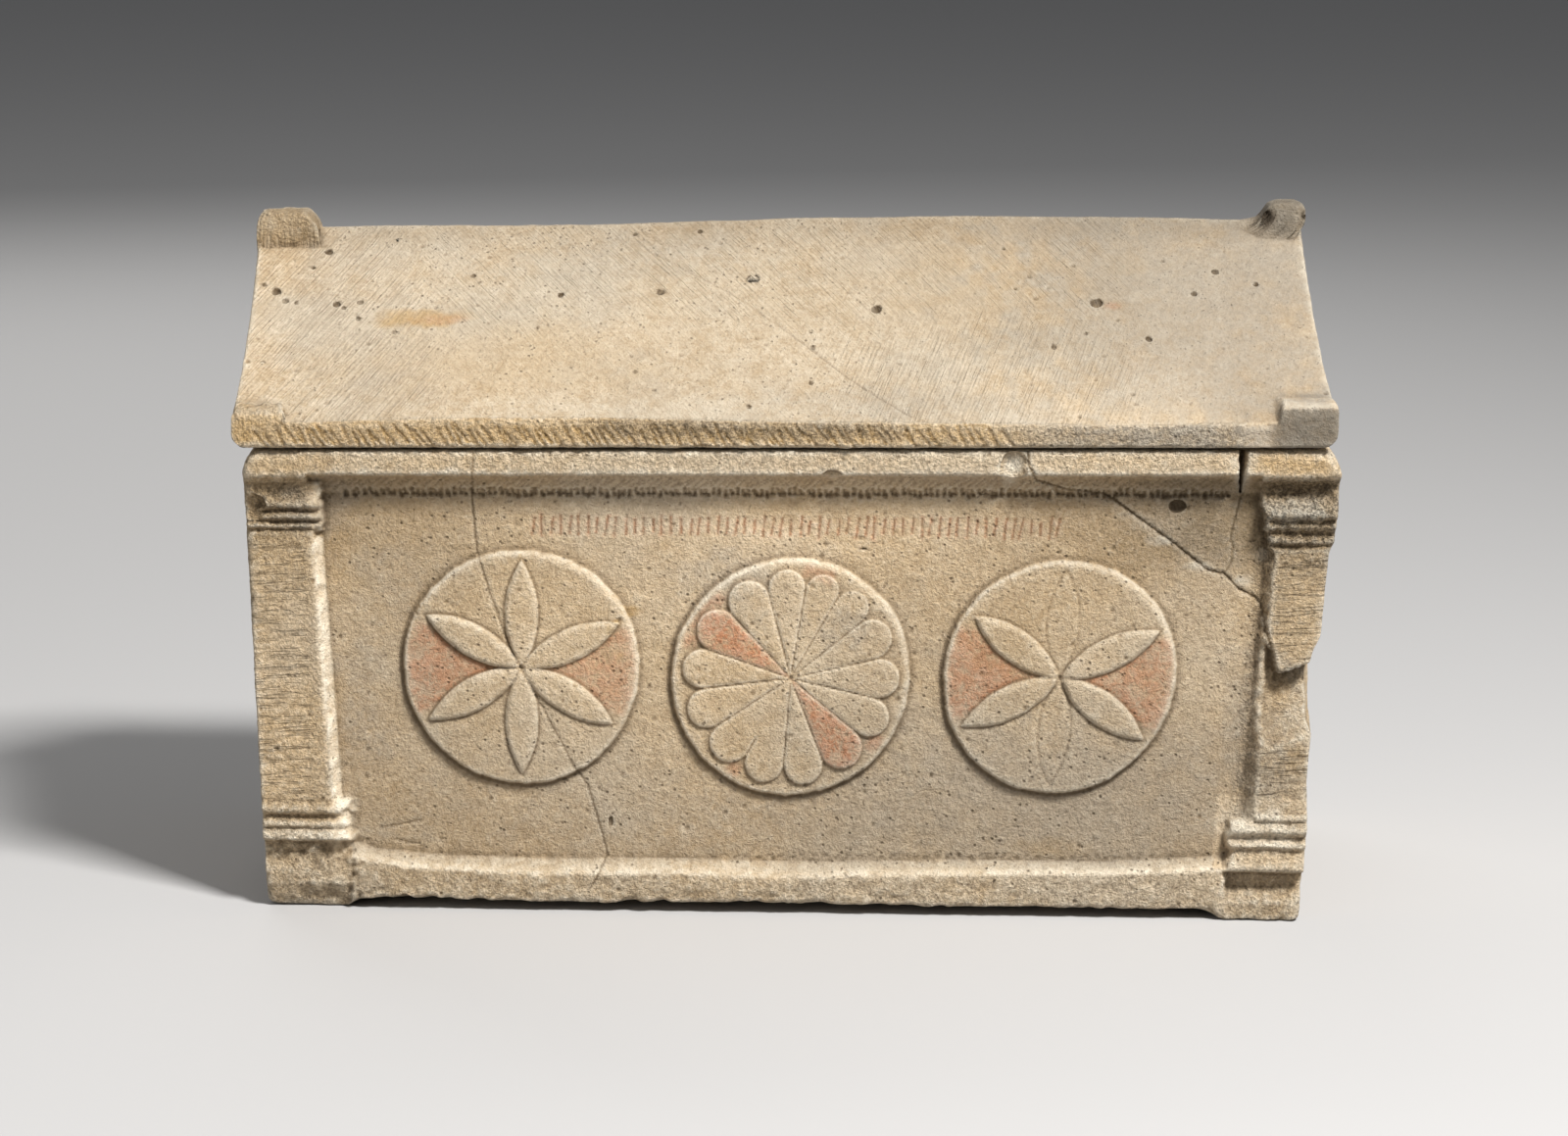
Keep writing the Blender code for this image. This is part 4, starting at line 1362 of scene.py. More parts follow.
    def _ochre(self) -> Array:
        """The ochre of the cornice, the foot, the ends, the hidden sides and the patches.

        Returns:
            How strong the ochre is.
        """
        x, z, front = self.x, self.z, self.front
        cornice = ease(0.246, 0.253, z) * (0.74 - 0.32 * ease(-0.27, -0.18, -x)) * front
        ends = 0.35 * ease(0.24, 0.27, np.abs(x)) * (self.y < 0.12)
        corners = 0.22 * ease(0.15, 0.21, z) * ease(0.08, 0.2, np.abs(x))
        return np.maximum.reduce([cornice, 0.25 * self.foot, ends, 0.2 * (1.0 - front),
                                  (0.24 + corners) * front, patches(x, z, self.ochre_patches)])

    def _pale_and_highlight(self) -> Array:
        """Pale stone: painted highlight on the lit slope of the panel's foot and on its left splay; rubbed
        wear together with painted highlight on the cornice's edge and in the patches.

        Returns:
            How pale the stone is.
        """
        x, z = self.x, self.z
        slope = ease(-0.1, 0.2, self.up) * fade(0.85, 1.0, self.up) * (np.abs(x) < 0.25)
        cornice = 0.30 * ease(0.248, 0.252, z) * fade(0.24, 0.26, np.abs(x))
        return np.maximum.reduce([patches(x, z, self.pale_and_highlight_patches), 0.6 * slope, 0.25 * self.foot,
                                  self.splay, cornice])

    def _carved_edges(self) -> dict[str, Array]:
        """How far inside the petals and the discs each point is, in millimetres, how crisp they are, and
        which side of each disc faces away from the light, where its rim gets painted shadow instead of
        painted highlight.

        Returns:
            The four masks that draw the rosettes' edges.
        """
        x, z = self.x, self.z
        levels = (OUTSIDE, 0.0, OUTSIDE, 0.0)
        petal_edge, petal_share, disc_edge, disc_shadow_side = (np.full_like(x, level) for level in levels)
        for rosette in ROSETTES:
            edge, fresh = rosette.outline(x, z)
            inside = rosette.inside(x, z)
            inset = self.spoon_inset if rosette.petals is Petals.SPOON else 0.0
            away = rosette.polar(x, z)[0]
            near = inside > -self.rosette_reach
            petal_edge = np.where(near, edge / MM - inset, petal_edge)
            petal_share = np.where(near, fresh * ease(2 * MM, 7 * MM, away), petal_share)
            disc_edge = np.maximum(disc_edge, inside / MM)
            # which side of the disc faces away from the light, where its rim gets painted shadow
            away_from_light = (0.55 * (rosette.x - x) + 0.84 * (rosette.z - z)) / np.maximum(away, MM)
            disc_shadow_side = np.where(near, ease(-0.5, 0.7, away_from_light), disc_shadow_side)
        return {"petal_edge": petal_edge, "petal_share": np.minimum(petal_share, 1.2) * self.front,
                "disc_shadow_side": disc_shadow_side, "disc_edge": np.where(self.front > 0, disc_edge, OUTSIDE)}

    def _painted_shade(self) -> Array:
        """Painted shade: how much darker the stone is painted towards the panel's upper corners, under the
        cove, round the capitals, the bases and the break, and at the foot; the left shaft's lower part is
        painted lighter.

        Returns:
            The share of brightness painted away; below 0 the stone is painted lighter.
        """
        x, z, up = self.x, self.z, self.up
        middle = np.interp(x, (-0.25, -0.19, -0.15, -0.02, 0.03, 0.20), (0.18, 0.18, 0.12, 0.10, 0.20, 0.22))
        corner = np.interp(x, (-0.24, -0.14, -0.02, 0.06, 0.14, 0.22), (0.34, 0.19, 0.03, 0.12, 0.30, 0.56))
        shade = middle + (corner - middle) * ease(0.180, 0.215, z) + 0.14 * fade(0.04, 0.16, z)
        shade = np.where(x < -0.262, np.interp(z, (0.07, 0.15, 0.21), (-0.06, 0.02, 0.16)), shade)
        shade = np.where((z < 0.07) & (np.abs(x) > 0.250), 0.06, shade) * (1.0 - 0.8 * self.splay)
        # painted shadow patches round the capitals, the bases and the break in the right pilaster
        shade = np.maximum(shade, patches(x, z, self.painted_shadow_patches))
        shade = shade * fade(0.246, 0.252, z) * ease(0.0, 0.5, up)
        # painted shade along the fascia, darker towards its lower edge
        return np.maximum(shade, (0.14 + 0.12 * fade(0.005, 0.018, z)) * (up < 0.2))

    def _grit(self) -> Array:
        """How coarse the stone is: coarsest on the cornice, the posts and the fascia, fine on the panel.

        Returns:
            The share of full coarseness.
        """
        x, z, relief = self.x, self.z, self.relief
        post = np.where(x < 0, ease(4 * MM, 7 * MM, self.beside), ease(0.256, 0.264, x))
        plain = np.maximum.reduce([0.9 * ease(0.2480, 0.2510, z), 0.6 * fade(-0.2, 0.2, self.up),
                                   post * (0.85 - 0.35 * relief.shaft_share(x, z))])
        grit = (0.16 + 0.84 * plain) * np.where(relief.in_break(x, z)[0], 0.5, 1.0)
        return grit * self.front + 0.6 * (1.0 - self.front)

    def _paint(self, marks: list[Line]) -> Array:
        """Red paint, where it is left on the rosettes and along the strokes above them.

        Args:
            marks: the strokes that stand in the writing's place.

        Returns:
            How much paint is left.
        """
        x, z = self.x, self.z
        scribed = np.full_like(x, 1.0)
        strip = (z > self.writing_strip[0]) & (z < self.writing_strip[1]) & (self.front > 0)
        for mark in marks:
            scribed[strip] = np.minimum(scribed[strip], line_distance(x[strip], z[strip], mark))
        return np.maximum(self._rosette_paint(), 0.62 * fade(0.3 * MM, 1.7 * MM, scribed))

    def _rosette_paint(self) -> Array:
        """Red paint between the outer rosettes' petals, and on two petals and the rim of the middle one.

        Returns:
            How much paint is left.
        """
        x, z = self.x, self.z
        left, middle, right = ROSETTES
        total = np.zeros_like(x)
        for rosette, low, high, strength in ((left, 243, 297, 0.88), (left, 66, 118, 0.70),
                                             (right, 245, 301, 0.85), (right, 66, 121, 0.80)):
            bearing = rosette.polar(x, z)[1]
            disc = ease(0.5 * MM, 3 * MM, rosette.inside(x, z))
            sector = ease(low, low + 5, bearing) * fade(high - 5, high, bearing)
            nearest = np.maximum.reduce([rosette.petal_inside(x, z, i) for i in range(len(rosette.bearings))])
            clear = fade(-1.2 * MM, 0.2 * MM, nearest)
            kept = 0.72 + 0.28 * ease(-3.5 * MM, -1.0 * MM, nearest)
            total = np.maximum(total, strength * disc * sector * clear * kept)
        for index, strength in ((12, 0.85), (6, 0.80)):
            petal = middle.petal_inside(x, z, index)
            total = np.maximum(total, strength * ease(-0.5 * MM, 1.0 * MM, petal))
        inside, bearing = middle.inside(x, z), middle.polar(x, z)[1]
        rim = ease(2 * MM, 4 * MM, inside) * fade(8 * MM, 13 * MM, inside)
        for low, high in ((3, 24), (284, 322), (120, 134), (205, 216)):
            sector = 0.5 * rim * ease(low, low + 4, bearing) * fade(high - 4, high, bearing)
            total = np.maximum(total, sector)
        return total


@dataclass
class Chest(StonePiece):
    """The hollow chest on its four low feet."""

    block: Block = Block()
    cell: float = 0.95 * MM
    side_cells: int = 44
    back_cells: int = 110
    front_run: float = 30e-3
    break_run: float = 75 * MM
    break_slope: float = 0.1176
    scoops: tuple[Scoop, ...] = (
        Scoop((0.1205, -0.1445, 0.2540), (0.0095, 0.0085, 0.0140), 0.10),
        Scoop((0.0210, -0.1415, 0.2500), (0.0065, 0.0050, 0.0040)),
        Scoop((-0.3040, -0.1405, 0.2310), (0.0170, 0.0100, 0.0130)),
        Scoop((0.2128, -0.1270, 0.2317), (0.0050, 0.0080, 0.0040)),
        Scoop((0.1695, -0.1270, 0.1673), (0.0016, 0.0040, 0.0016)),
        Scoop((0.1643, -0.1270, 0.1863), (0.0014, 0.0036, 0.0014)),
        Scoop((0.1732, -0.1270, 0.1847), (0.0013, 0.0036, 0.0013)),
        Scoop((0.1405, -0.1270, 0.1796), (0.0014, 0.0036, 0.0014)),
        Scoop((0.1035, -0.1270, 0.1700), (0.0014, 0.0036, 0.0014)),
        Scoop((0.0400, -0.1270, 0.2075), (0.0030, 0.0030, 0.0012)),
        Scoop((-0.0998, -0.1270, 0.0505), (0.0016, 0.0034, 0.0035)),
        Scoop((-0.2200, -0.1345, 0.0020), (0.0080, 0.0060, 0.0080), 0.12),
        Scoop((-0.2050, -0.1350, 0.0030), (0.0060, 0.0050, 0.0060), 0.12),
    )
    teeth: ToolRow = ToolRow("teeth", (-0.2460, 0.2392), (0.2400, 0.2388), 150, 5, length=2.7, lean=-0.25,
                             scatter=0.45, wander=0.9, cut=Cut(2.0, 2.3, 1.0))
    ledge_teeth: ToolRow = ToolRow("ledge_teeth", (-0.0400, 0.0314), (0.2400, 0.0338), 44, 9, length=2.2,
                                   lean=1.45, scatter=0.25, wander=0.9, cut=Cut(1.2, 0.5, 0.8))
    writing: ToolRow = ToolRow("writing", (-0.1435, 0.2202), (0.1485, 0.2192), 58, 3, length=10.5, lean=0.08,
                               scatter=0.12, wander=0.8, cut=Cut(0.9, 0.55, 0.3))
    hatch: ToolRow = ToolRow("cove_hatch", (-0.2560, 0.2450), (0.2380, 0.2450), 150, 15, length=8.0,
                             lean=0.85, scatter=0.25, wander=1.2, cut=Cut(1.1, 0.45, 0.5))
    side_setback: Line = (
        (0.0530, 0.0), (0.0800, 0.0030), (0.2070, 0.0028), (0.2120, 0.0))
    side_break: Line = (
        (0.1020, 0.3080), (0.1060, 0.2971), (0.1135, 0.2936), (0.1272, 0.2921), (0.1408, 0.2906),
        (0.1518, 0.2934), (0.1600, 0.2971), (0.1640, 0.3080))

    def build(self) -> Piece:
        """Make the chest's skin, carve it and place it.

        Returns:
            The chest, undressed.
        """
        points, triangles = self._skin()
        edges = triangle_edges(triangles)
        points = neighbour_mean(points, edges, 1)
        for scoop in self.scoops:
            points = scoop.push(points)
        points = self._open_slot(points)
        groove, row = Groove(), StrokeRow()
        tools = (self.teeth, self.ledge_teeth, self.writing, self.hatch)
        rows = {tool.name: (tool.grow(row), tool.cut) for tool in tools}
        marks = segments(rows[self.writing.name][0])
        for name, lines, cut in (("scratches", PANEL_SCRATCHES, Cut(0.8, 0.7, 0.5)),
                                 ("front_cracks", FRONT_CRACKS, Cut(0.75, 0.55, 0.5)),
                                 ("fragment_joint", (FRAGMENT_JOINT,), Cut(0.95, 1.5, 0.6))):
            rows[name] = (wire(name, lines, (ALONG, UP)), cut)
        piece = self.finish(points, triangles, [
            (Weathering(), {"coarse_size": 14 * MM, "coarse_depth": 0.9 * MM,
                            "fine_size": 3.6 * MM, "fine_depth": 0.85 * MM}),
            (Pitting(), {"density": 6500.0, "seed": 4, **PIT_SIZES}),
            *((groove, cut.along(drawn)) for drawn, cut in rows.values())])
        masks = FrontMasks(*mesh_points(piece.data).T, self.block)
        store(piece, {**masks.every(marks), **relief_masks(piece)})
        self.place(piece, "chest")
        return piece

    def _ring(self, inset: float, z: float, counts: tuple[int, int], wide: Pair) -> list[Array]:
        """The four sides of a level ring: front, right, back and left.

        Args:
            inset: how far in from the faces.
            z: its height.
            counts: cells along and across.
            wide: its two ends.

        Returns:
            The points of the four sides.
        """
        front, back = -self.block.half_depth + inset, self.block.half_depth - inset
        left, right = wide[0] + inset, wide[1] - inset
        share = np.linspace(0.0, 1.0, counts[1] + 1) ** 1.35
        levels = np.full(counts[1] + 1, z)
        to_back = np.stack((np.full_like(share, right), front + (back - front) * share, levels), 1)
        to_front = np.stack((np.full_like(share, left), (front + (back - front) * share)[::-1], levels), 1)
        along = np.linspace(left, right, counts[0] + 1)
        far = np.linspace(right, left, self.back_cells + 1)
        return [np.stack((along, np.full_like(along, front), np.full_like(along, z)), 1), to_back,
                np.stack((far, np.full_like(far, back), np.full_like(far, z)), 1), to_front]

    def _skin(self) -> tuple[Array, Array]:
        """The chest's closed skin in the square layout, with its front carved.

        Returns:
            The points and the triangles.
        """
        b = self.block
        fine = (round((b.rim_ends[1] - b.rim_ends[0]) / self.cell), self.side_cells)
        coarse = (self.back_cells, self.side_cells)
        levels = np.linspace(0.0, b.rim_height, round(b.rim_height / self.cell) + 1)
        rings = []
        for inset in (b.half_depth, 0.12, b.foot_length + 20 * MM, b.foot_length, 0.03, 0.015, 0.004):
            rings.append(self._ring(inset, 0.0, coarse, b.ground_ends))
        for z in levels:
            ends = tuple(np.interp(z, (0.0, b.rim_height), pair) for pair in zip(b.ground_ends, b.rim_ends))
            rings.append(self._ring(0.0, z, fine, ends))
        for inset in (0.003, 0.010, 0.020, b.wall):
            rings.append(self._ring(inset, b.rim_height, coarse, b.rim_ends))
        for z in np.linspace(b.rim_height - 4 * MM, b.floor_top, 16):
            rings.append(self._ring(b.wall, z, coarse, b.rim_ends))
        for inset in (0.05, 0.075, 0.105, b.half_depth):
            rings.append(self._ring(inset, b.floor_top, coarse, b.rim_ends))
        skin = Skin()
        skin.rings(rings)
        points, triangles = skin.weld()
        return self._carve(points), triangles

    def _carve(self, points: Array) -> Array:
        """Round the block's arrises, wear its ends, set back its front and free its feet.

        Args:
            points: the squared block.

        Returns:
            The carved block.
        """
        b = self.block
        inside = self._inside(points)
        points = np.where(inside[:, None], points, self._rounded(points))
        x, y, z = points.T.copy()
        x = self._worn_ends(x, y, z, inside)
        near = unit(1.0 - (y - b.front) / self.front_run)
        hit = (near > 0) & ~inside
        y[hit] += FrontRelief(b).setback(x[hit], z[hit]) * near[hit]
        return np.stack((x, y, np.where(inside, z, z + self._foot_lift(x, y, z))), 1)

    def _inside(self, points: Array) -> Array:
        """Which points line the hollow or lie on the rim's inner part.

        Args:
            points: the squared block.

        Returns:
            Whether each point does.
        """
        b = self.block
        x, y, z = points.T
        well = (z > b.floor_top - MM) & (np.abs(y) < b.half_depth - b.wall + MM)
        well &= (x > b.rim_ends[0] + b.wall - MM) & (x < b.rim_ends[1] - b.wall + MM)
        rim = (z > b.rim_height - 0.1 * MM) & (np.abs(y) < b.half_depth - 15 * MM) & (np.abs(x) < 0.285)
        return well | rim

    def _rounded(self, points: Array) -> Array:
        """Round the arrises unevenly: most at the top left, at the right of the cornice and at the ground.

        Args:
            points: the squared block.

        Returns:
            The block with its arrises rounded.
        """
        b = self.block
        x, y, z = points.T
        left = np.interp(z, (0.0, b.rim_height), (b.ground_ends[0], b.rim_ends[0]))
        right = np.interp(z, (0.0, b.rim_height), (b.ground_ends[1], b.rim_ends[1]))
        radius = (2.0 + 0.9 * noise(x + y, z, 7 * MM, 21) + 0.7 * noise(x + y, z, 2.5 * MM, 22)) * MM
        radius = np.where((x < -0.27) & (y < 0.0), radius + 3.6 * MM * ease(0.09, 0.235, z), radius)
        radius = np.where((x > 0.27) & (y < 0.0), radius + 2.5 * MM * ease(0.235, 0.262, z), radius)
        ground = (2.8 + 2.4 * noise(x + y, z, (13 * MM, 40 * MM), 24)) * MM
        radius = np.where(z < 0.02, radius + ground, radius)[:, None]
        low = np.stack((left, np.full_like(x, b.front), np.zeros_like(x)), 1)
        high = np.stack((right, np.full_like(x, b.half_depth), np.full_like(x, b.rim_height)), 1)
        core = np.clip(points, low + radius, high - radius)
        away = points - core
        length = np.linalg.norm(away, axis=1)[:, None]
        return np.where(length > TINY, core + away / np.maximum(length, TINY) * radius, points)

    def _worn_ends(self, x: Array, y: Array, z: Array, inside: Array) -> Array:
        """Wear both top corners, set the right end back, and break away the edge beside its pilaster.

        Args:
            x, y, z: the points.
            inside: which of them line the hollow.

        Returns:
            The new places along the length.
        """
        b = self.block
        for side, drop, bite in ((-1, 14 * MM, 6 * MM), (1, 15 * MM, 7.5 * MM)):
            outer = ease(0.272, 0.292, side * x) * ~inside
            front_share = 1.0 - 0.65 * (y - b.front) / (2 * b.half_depth)
            depth = unit(1.0 - (b.rim_height - z) / (drop * front_share)) ** 1.6
            x = x - side * bite * outer * front_share * depth
        bite = follow(self.side_setback, z) * unit(1.0 - (y - b.front) / (65 * MM))
        x = x - bite * ease(0.280, 0.296, x)
        limit = follow(self.side_break, z) + self.break_slope * (y - b.front + 10 * MM)
        limit = limit + 0.5 * MM * noise(y, z, 6 * MM, 29)
        return np.where((y < b.front + self.break_run) & ~inside, np.minimum(x, limit), x)

    def _foot_lift(self, x: Array, y: Array, z: Array) -> Array:
        """How far the underside is cut up between the feet, with chips along its front edge.

        Args:
            x, y, z: the points.

        Returns:
            Metres to lift each point.
        """
        b = self.block
        passage = np.maximum(fade(0.2488, 0.2540, np.abs(x - 0.0012)), (np.abs(y) < 0.0925).astype(float))
        lift = b.foot_height * passage * (1.0 + 0.10 * noise(x, y, 18 * MM, 23))
        chips = noise(x, y, (9 * MM, 60 * MM), 27) + 0.6 * noise(x, y, (3.5 * MM, 60 * MM), 28)
        lift = lift + 1.6 * MM * np.maximum(chips, 0.0) * passage * (y < b.front + 30 * MM)
        return lift * unit(1.0 - z / (16 * MM))

    def _open_slot(self, points: Array) -> Array:
        """Open the gap in the cornice beside the right pilaster.

        Args:
            points: the carved block.

        Returns:
            The block with its slot.
        """
        x, y, z = points.T.copy()
        middle = 0.2452 + (self.block.rim_height - z) * 0.06
        half = np.interp(z, (0.2390, 0.2500, self.block.rim_height), (0.0, 1.3 * MM, 2.2 * MM))
        deep = fade(0.6, 1.25, np.abs(x - middle) / np.maximum(half, 0.1 * MM)) * (half > 0)
        deep = np.where((y < self.block.front + 22 * MM) & (z > 0.2385), deep, 0.0)
        y = y + deep * np.maximum(0.0, self.block.front + 20 * MM - y)
        return np.stack((x, y, z), 1)


@dataclass(frozen=True)
class RidgeKnob:
    """A lump on one end of the ridge, through levels of (height, outer x, inner x, half its depth)."""

    levels: tuple[tuple[float, float, float, float], ...]
    softness: float
    narrowing: float = 0.0

    def height(self, x: Array, y: Array) -> Array:
        """The height of the lump over each point of the plan, 0 where there is none.

        Args:
            x, y: the points in plan.

        Returns:
            The height of its surface.
        """
        heights, outer, inner, half = (np.array(column) for column in zip(*self.levels))
        side = math.copysign(1.0, inner[0] - outer[0])
        wide, fine = noise(x, y, 7 * MM, 37), noise(x, y, 2.8 * MM, 38)
        start = outer[0]
        u = (x - start) * side
        slope = np.interp(u + 0.5 * MM * wide, side * (inner - start)[::-1], heights[::-1])
        gable = np.interp(u + 0.3 * MM * wide, side * (outer - start), heights)
        inner_part = np.maximum(0.0, u - 0.55 * side * (inner[0] - start))
        flank = np.interp(np.abs(y) + 0.6 * MM * wide + self.narrowing * inner_part, half[::-1],
                          heights[::-1])
        total = sum(np.exp(-face / self.softness) for face in (slope - heights[-1], gable - heights[-1],
                                                              flank - heights[-1]))
        level = heights[-1] - self.softness * np.log(total / 3.0)
        level = level + MM * (0.5 * wide + 0.35 * fine)
        return np.where((u >= 0.0) & (x * side <= inner[0] * side) & (np.abs(y) <= half[0] + MM), level, 0.0)


LEFT_RIDGE_KNOB = RidgeKnob(((0.3500, -0.3080, -0.2710, 0.0190), (0.3735, -0.3074, -0.2717, 0.0182),
                             (0.3790, -0.3058, -0.2760, 0.0172), (0.3834, -0.3042, -0.2801, 0.0150)), 0.0007)
RIGHT_RIDGE_KNOB = RidgeKnob(((0.3500, 0.2903, 0.2580, 0.0165), (0.3715, 0.2901, 0.2612, 0.0158),
                              (0.3782, 0.2899, 0.2664, 0.0148), (0.3825, 0.2878, 0.2686, 0.0132),
                              (0.3852, 0.2816, 0.2722, 0.0108)), 0.0013, 0.6)


@dataclass
class Lid(StonePiece):
    """The gabled lid, hollow beneath, with worn knobs on its ridge ends and its corners."""

    left: float = -0.3068
    right: float = 0.2960
    half_depth: float = 0.143
    seat: float = 0.2648
    eave_top: float = 0.280
    ridge: float = 0.376
    ridge_half: float = 0.004
    gable_fall: tuple[Triple, ...] = (
        (0.00, 0.0000, 0.0000), (0.25, 0.0018, 0.0045), (0.50, 0.0019, 0.0070), (0.80, 0.0010, 0.0086),
        (1.00, 0.0000, 0.0086))
    wall: float = 0.031
    thickness: float = 0.031
    cells: int = 690
    hollow_cells: int = 110
    front_rows: int = 180
    back_rows: int = 50
    eave_rows: int = 17
    knob_rows: tuple[float, float, int] = (-0.0200, -0.0085, 40)
    eave_turn: Pair = (0.10, 0.17)
    right_knob: Pair = (0.250, 0.266)
    stations: tuple[Triple, ...] = (
        (0.00, -0.0006, -0.0026), (0.20, 0.0026, -0.0024), (0.33, 0.0028, -0.0021), (0.51, 0.0002, 0.0006),
        (0.69, -0.0006, 0.0016), (0.80, -0.0020, 0.0008), (1.00, 0.0000, -0.0025))
    pits: tuple[Triple, ...] = (
        (-0.024, -0.046, 3.6), (0.168, -0.062, 3.6), (-0.292, -0.050, 2.9), (0.045, -0.067, 3.1),
        (0.196, -0.086, 2.1), (0.236, -0.040, 2.4), (-0.265, -0.022, 2.4), (-0.286, -0.057, 2.2),
        (-0.257, -0.060, 2.3), (-0.244, -0.059, 2.1), (-0.223, -0.081, 1.9), (-0.273, -0.033, 1.7),
        (-0.299, -0.045, 1.6), (-0.244, -0.071, 1.6), (-0.226, -0.014, 1.5), (-0.132, -0.055, 2.0),
        (0.223, -0.055, 2.1), (0.143, -0.092, 1.9), (0.123, -0.053, 1.4), (0.131, -0.045, 1.4),
        (-0.182, -0.041, 1.9), (-0.177, -0.047, 1.4), (-0.076, -0.054, 2.3), (-0.092, -0.011, 1.6),
        (-0.055, -0.011, 1.6), (-0.144, -0.079, 1.3), (0.010, -0.093, 1.6), (0.009, -0.116, 1.5),
        (-0.088, -0.110, 1.5), (-0.077, -0.122, 1.3), (0.258, -0.049, 1.7), (0.117, -0.026, 1.5),
        (-0.294, -0.101, 1.3), (-0.270, -0.136, 1.4), (-0.167, -0.110, 1.3), (-0.025, -0.133, 1.6),
        (0.161, -0.083, 1.4), (-0.253, -0.063, 1.5), (-0.280, -0.059, 1.4))

    claw: ToolRow = ToolRow("claw", (-0.2900, 0.2725), (0.1150, 0.2725), 98, 7, length=13, lean=-0.58,
                            scatter=0.20, wander=2.8, cut=Cut(1.4, 0.8, 1.2, 0.3))
    crack_cut: Cut = Cut(0.8, 0.32, 0.8, 0.4, PUSH_DOWN)
    knob_pits: tuple[Scoop, ...] = (
        Scoop((-0.2865, -0.0190, 0.3690), (0.0022, 0.0040, 0.0022)),
        Scoop((0.2668, -0.0132, 0.3770), (0.0030, 0.0050, 0.0044)),
        Scoop((0.2890, -0.0128, 0.3790), (0.0026, 0.0040, 0.0024)),
        Scoop((0.2690, -0.0160, 0.3600), (0.0030, 0.0040, 0.0018)),
        Scoop((0.2890, -0.0160, 0.3590), (0.0030, 0.0040, 0.0018)))
    scoops: tuple[Scoop, ...] = (
        Scoop((-0.1020, 0.0000, 0.3760), (0.0060, 0.0060, 0.0022)),
        Scoop((-0.0500, -0.1440, 0.2650), (0.0100, 0.0040, 0.0035)))

    ochre_patches: Stains = (
        (-0.206, -0.0728, 0.028, 0.007, 1.3), (0.178, -0.064, 0.010, 0.006, 1.0),
        (0.185, -0.036, 0.016, 0.009, 0.8), (-0.16, -0.10, 0.10, 0.03, 0.35),
        (0.12, -0.05, 0.10, 0.05, 0.30))
    # paler patches of the roof and the eave's edge: pale stone together with painted highlight
    pale_and_highlight_patches: Stains = (
        (-0.05, -0.134, 0.22, 0.010, 0.5), (-0.27, -0.125, 0.03, 0.02, 0.4),
        (0.0, -0.09, 0.16, 0.035, 0.35), (-0.05, -0.08, 0.32, 0.09, 0.30))
    rust_patches: Stains = (
        (-0.1940, -0.0730, 0.0150, 0.0042, 0.40), (-0.2120, -0.0735, 0.0070, 0.0032, 0.20),
        (0.178, -0.0640, 0.0060, 0.0030, 0.45))
    grey_patches: Stains = (
        (0.21, -0.11, 0.09, 0.035, 0.7), (0.22, -0.06, 0.12, 0.10, 0.75),
        (0.283, -0.135, 0.024, 0.026, 1.0), (0.276, -0.005, 0.022, 0.025, 0.8),
        (0.05, -0.13, 0.10, 0.012, 0.4), (-0.10, -0.03, 0.09, 0.02, 0.3))

    def build(self) -> Piece:
        """Make the lid's skin, wear it and place it.

        Returns:
            The lid, undressed.
        """
        points, triangles = self._skin()
        points = neighbour_mean(points, triangle_edges(triangles), 2)
        for x, y, size in self.pits:
            z = float(self._roof(np.array([x]), np.array([y]))[0])
            radius = size * MM
            points = Scoop((x, y - 0.2 * radius, z), (radius, radius * 0.9, radius * 1.8)).push(points)
        for scoop in self.knob_pits + self.scoops:
            points = scoop.push(points)
        groove, row = Groove(), StrokeRow()
        piece = self.finish(points, triangles, [
            (Weathering(), {"coarse_size": 16 * MM, "coarse_depth": 0.9 * MM,
                            "fine_size": 3.4 * MM, "fine_depth": 0.6 * MM}),
            (Pitting(), {"density": 3200.0, "seed": 8, **PIT_SIZES}),
            (groove, self.claw.cut.along(self.claw.grow(row))),
            (groove, self.crack_cut.along(wire("lid_cracks", LID_CRACKS, (ALONG, ACROSS))))])
        self._stains_and_painted_shade(piece)
        self.place(piece, "lid")
        return piece

    def _stains_and_painted_shade(self, piece: Piece) -> None:
        """Store where the stone is stained, cracked or worn, and where shade and light are painted.

        Args:
            piece: the lid, before it is cut to its real shape.
        """
        points = mesh_points(piece.data)
        x, y, z = points.T
        roof = (z > self._roof(x, y) - 4 * MM).astype(float)
        shown = np.maximum(roof, (y < -self.half_depth + 4 * MM).astype(float))
        eave = self._eave_share(x, y, z)
        knob = ease(1.5 * MM, 3.0 * MM, z - self._roof(x, y))
        ochre = np.maximum(eave * (0.95 - 0.75 * ease(*self.eave_turn, x)),
                           patches(x, y, self.ochre_patches) * roof)
        crack = (0.10 + 0.20 * ease(0.06, 0.11, -y)) * fade(0.2 * MM, 1.0 * MM,
                                                                  line_distance(x, y, LID_CRACKS[0]))
        grey = np.maximum(patches(x, y, self.grey_patches), 0.85 * eave * ease(*self.eave_turn, x))
        low_right = eave * ease(*self.right_knob, x)
        smooth = np.maximum((0.35 + 0.65 * ease(-0.02, 0.12, x)) * roof * (1.0 - eave), low_right)
        grit = np.maximum(eave * (1.0 - 0.92 * ease(0.235, 0.255, x)), 0.5 * knob * (x < 0.2))
        rasp = dict(zip(RASP_MASKS, (share * roof for share in self._rasp_shares(x, y))))
        bare = np.full_like(x, OUTSIDE)
